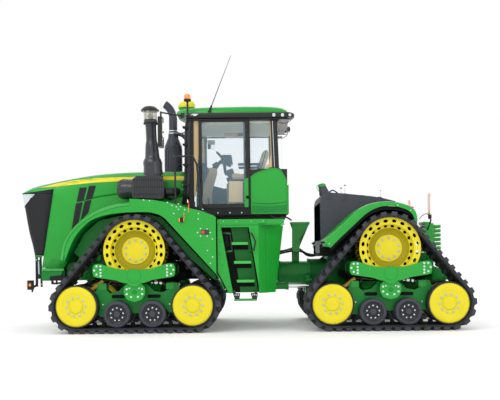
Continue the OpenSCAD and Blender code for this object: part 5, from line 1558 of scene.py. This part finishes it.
OUT_LINE = [(1033, 1478), (1218, 1645), (1415, 1828), (1589, 1972), (1741, 2060), (1893, 2103),
    (2066, 2119), (2239, 2104), (2368, 2070), (2476, 2022), (2529, 1964), (2550, 1899), (2557, 1802)]
IN_LINE = [(1130, 1385), (1325, 1577), (1500, 1737), (1675, 1900), (1784, 1980), (1892, 2034),
    (2022, 2066), (2195, 2062), (2346, 2026), (2444, 1974), (2500, 1910), (2520, 1860), (2534, 1802)]
rear = Piece("rear_fender_skin")
mark = rear.mark()
outer, inner = flat_line(OUT_LINE, 50), flat_line(IN_LINE, 50)
rear.prism(outer + inner[::-1], -FENDER_OUT, -FENDER_OUT + 14, GREEN)
rear.skin([[Vector((x, y, z)) for x, z in lifted(outer, up)]
    for up, y in ((0, -1447), (10, -1444), (20, -1434), (26, -1414), (30, -1360), (34, -1100),
    (34, -748))], GREEN)
rear.skin([[Vector((x, y, z)) for x, z in lifted(outer, up)]
    for up, y in ((6, -1440), (10, -1400), (12, -748))], SHADE)
# lighter line along the crease: painted highlight
crease = [(1135, 1516), (1280, 1650), (1470, 1826), (1632, 1964), (1760, 2040), (1893, 2082),
    (2050, 2098), (2196, 2088)]
rear.tube([Vector((x, -FENDER_OUT - 1, z)) for x, z in flat_line(crease)], 5, LIT_GREEN, 8)
# near-black band under the lip: painted shade
liner = [(x + 8, z - 60) for x, z in inner]
rear.prism(inner + liner[::-1], -1400, -1388, SHADOW_BLACK)
rear.skin([[Vector((x, y, z)) for x, z in lifted(inner, up)]
    for up, y in ((-4, -1400), (-4, -900), (-4, -740))], SHADOW_BLACK)
# near-black sheet behind the fender: painted shade
rear.prism([(1010, 1440), (1060, 1460), (1300, 1640), (1660, 1960), (1860, 2080), (2100, 2110),
    (2400, 2040), (2530, 1850), (2600, 1500), (2600, 1250), (1010, 1250)], -745, -735, SHADOW_BLACK)
rear.plate([(1052, 1470), (1085, 1440), (1130, 1396), (1040, 1410)], 4, -1449, -748, SHADE)
for x, z in ((1110, 1452), (2250, 2080), (2460, 1990)):
    rear.bolt((x, -FENDER_OUT, z), 7, 6)
rear.plate([(2470, 2062), (2520, 2042), (2500, 2010), (2458, 2030)], 6, -1440, -1396, RED)
rear.mirror(*mark)
rear.build(REAR, edge=2, stands_for="rear_fenders", slot="body_paint")

# ------------------------------------------------------------------ remote valves, lamp masts and hitch

remote = Piece("remote_block")
remote.plate([(2962, 1300), (3110, 1300), (3112, 1560), (3100, 1818), (2964, 1820)], 10, -258, 258, GREEN)
for k in range(6):
    z = 1370 + k * 78
    for y in (-170, 0, 170):
        remote.lathe([(0, 3110), (30, 3110), (34, 3124), (34, 3150), (27, 3156), (27, 3200), (31, 3206),
            (31, 3238), (24, 3248), (0, 3250)], (0, y, z), GREEN, "x", 20)
    remote.tube(smooth_line([(2962, -200 + 30 * k, z), (2890, -230 + 30 * k, z - 30),
        (2850, -240, z - 140), (2840, -250, 1240)], 30), 13, HOSE, 10)
remote.plate([(2925, 1848), (3060, 1840), (3050, 1790), (2940, 1796)], 10, -220, 220, GREEN)
mark = remote.mark()
remote.tube([(3000, -230, 1700), (2960, -700, 1850), (2897, -880, 1900)], 15, BLACK, 12)
remote.tube(smooth_line([(2890, -880, 1930), (2840, -860, 1960), (2790, -800, 1930), (2760, -700, 1880)],
    20), 6, HOSE, 8)
remote.prism(slab(2872, 1942, 2922, 1870, 8), -930, -870, MATT)
remote.plate([(2886, 1939), (2908, 1939), (2916, 2020), (2914, 2200), (2898, 2318), (2886, 2200),
    (2880, 2020)], 6, -985, -815, WHITE)
remote.prism(slab(2880, 1940, 2886, 2310, 2), -988, -812, AMBER)
remote.plate([(2950, 1280), (3034, 1276), (3034, 1060), (3120, 1024), (3218, 1020), (3250, 900),
    (3242, 850), (3060, 800)], 12, -408, -374, SHADE)
for x, z in ((3080, 980), (3160, 960), (3200, 880)):
    remote.bolt((x, -408, z), 9, 7, STACK)
remote.mirror(*mark)
remote.build(REAR, edge=2, stands_for="remote_valves", slot="body_paint")

# ------------------------------------------------------------------ plates and hydraulic hoses at the joi

knuckle = Piece("hub_details")
bracket = [(530, 1862), (880, 1862), (878, 1832), (700, 1560), (690, 1330), (556, 1330), (556, 1480),
    (560, 1828)]
knuckle.plate(bracket, 10, -132, -116, GREEN)
# lighter strip along the bracket's top: painted highlight
knuckle.prism(slab(530, 1868, 880, 1846, 5), -136, 136, LIT_GREEN)
knuckle.lathe([(200, 300), (212, 306), (212, 340), (202, 348)], (0, 0, 955), SHADE, "x", 48)
for a in turns(12):
    knuckle.bolt((842, 226 * math.cos(a), 955 + 226 * math.sin(a)), 13, 12, STACK, "x", -1)
knuckle.build("articulation_hub", edge=1.5, slot="chassis_paint")


HOSE_R = 19


def hose(name, line):
    """A hydraulic hose across a joint, as a tube along a smooth line through the points."""
    piece = Piece(name)
    path = smooth_line(line, 24)
    piece.tube(path, HOSE_R, HOSE, 12)
    obj = piece.build("", edge=0, parent=False)
    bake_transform(obj)


for k in range(4):
    y, dip = -330 + 40 * k, 20 * (k % 2)
    hose(f"yaw_hose_{k}", [(-422, y, 1150 + 14 * k), (-330, y, 1180 + 20 * k),
        (-120, y, 1250 + 18 * k - dip), (80, y, 1262 + 16 * k - dip), (280, y + 20, 1290 + 14 * k),
        (420, y + 70, 1320 + 10 * k), (590, -84 + 40 * k, 1350 + 16 * k)])
    hose(f"roll_hose_{k}", [(640, -84 + 40 * k, 1350 + 16 * k), (730, -130 + 40 * k, 1330 + 8 * k),
        (820, -210 + 50 * k, 1290 - dip), (900, -290 + 60 * k, 1270 - dip), (990, -350 + 70 * k, 1262),
        (1080, -350 + 70 * k, 1262), (1180, -300 + 60 * k, 1258)])

# ------------------------------------------------------------------ camera, floor and light


def lamp(name, energy, size, at, toward):
    """A white soft box of that size in metres, turned toward a point."""
    data = bpy.data.lights.new(name, "AREA")
    data.energy, data.shape, data.size, data.size_y = energy, "RECTANGLE", size[0], size[1]
    obj = bpy.data.objects.new(name, data)
    bpy.context.collection.objects.link(obj)
    obj.location = at
    obj.rotation_euler = (Vector(toward) - Vector(at)).to_track_quat("-Z", "Y").to_euler()


camera_data = bpy.data.cameras.new("camera")
camera_data.lens, camera_data.sensor_width = 57.7, 36.0
camera_data.shift_x, camera_data.shift_y = -0.010, 0.106
camera_data.clip_end = 200
camera = bpy.data.objects.new("camera", camera_data)
bpy.context.collection.objects.link(camera)
camera.location = (PIN.x - 0.119, -14.7, 1.312)
camera.rotation_euler = (math.radians(90), 0, 0)
camera.rotation_euler.rotate_axis("Z", math.radians(-0.6))
bpy.context.scene.camera = camera

floor_mesh = bpy.data.meshes.new("floor")
floor_mesh.from_pydata([(-60, -60, 0), (60, -60, 0), (60, 60, 0), (-60, 60, 0)], [], [(0, 1, 2, 3)])
floor_mesh.materials.append(FLOOR)
floor = bpy.data.objects.new("floor", floor_mesh)
bpy.context.collection.objects.link(floor)

world = bpy.data.worlds.new("studio")
world.use_nodes = True
world.node_tree.nodes["Background"].inputs["Color"].default_value = (1, 1, 1, 1)
world.node_tree.nodes["Background"].inputs["Strength"].default_value = 1.0
bpy.context.scene.world = world
bpy.context.scene.view_settings.view_transform = "Standard"
lamp("key", 420, (9, 5), (-5.5, -9, 9.5), (0, 0, 1.2))
lamp("fill", 120, (8, 4), (7, -10, 5), (0.5, 0, 1.2))
lamp("back", 160, (8, 4), (2, 9, 8), (0, 0, 1.5))
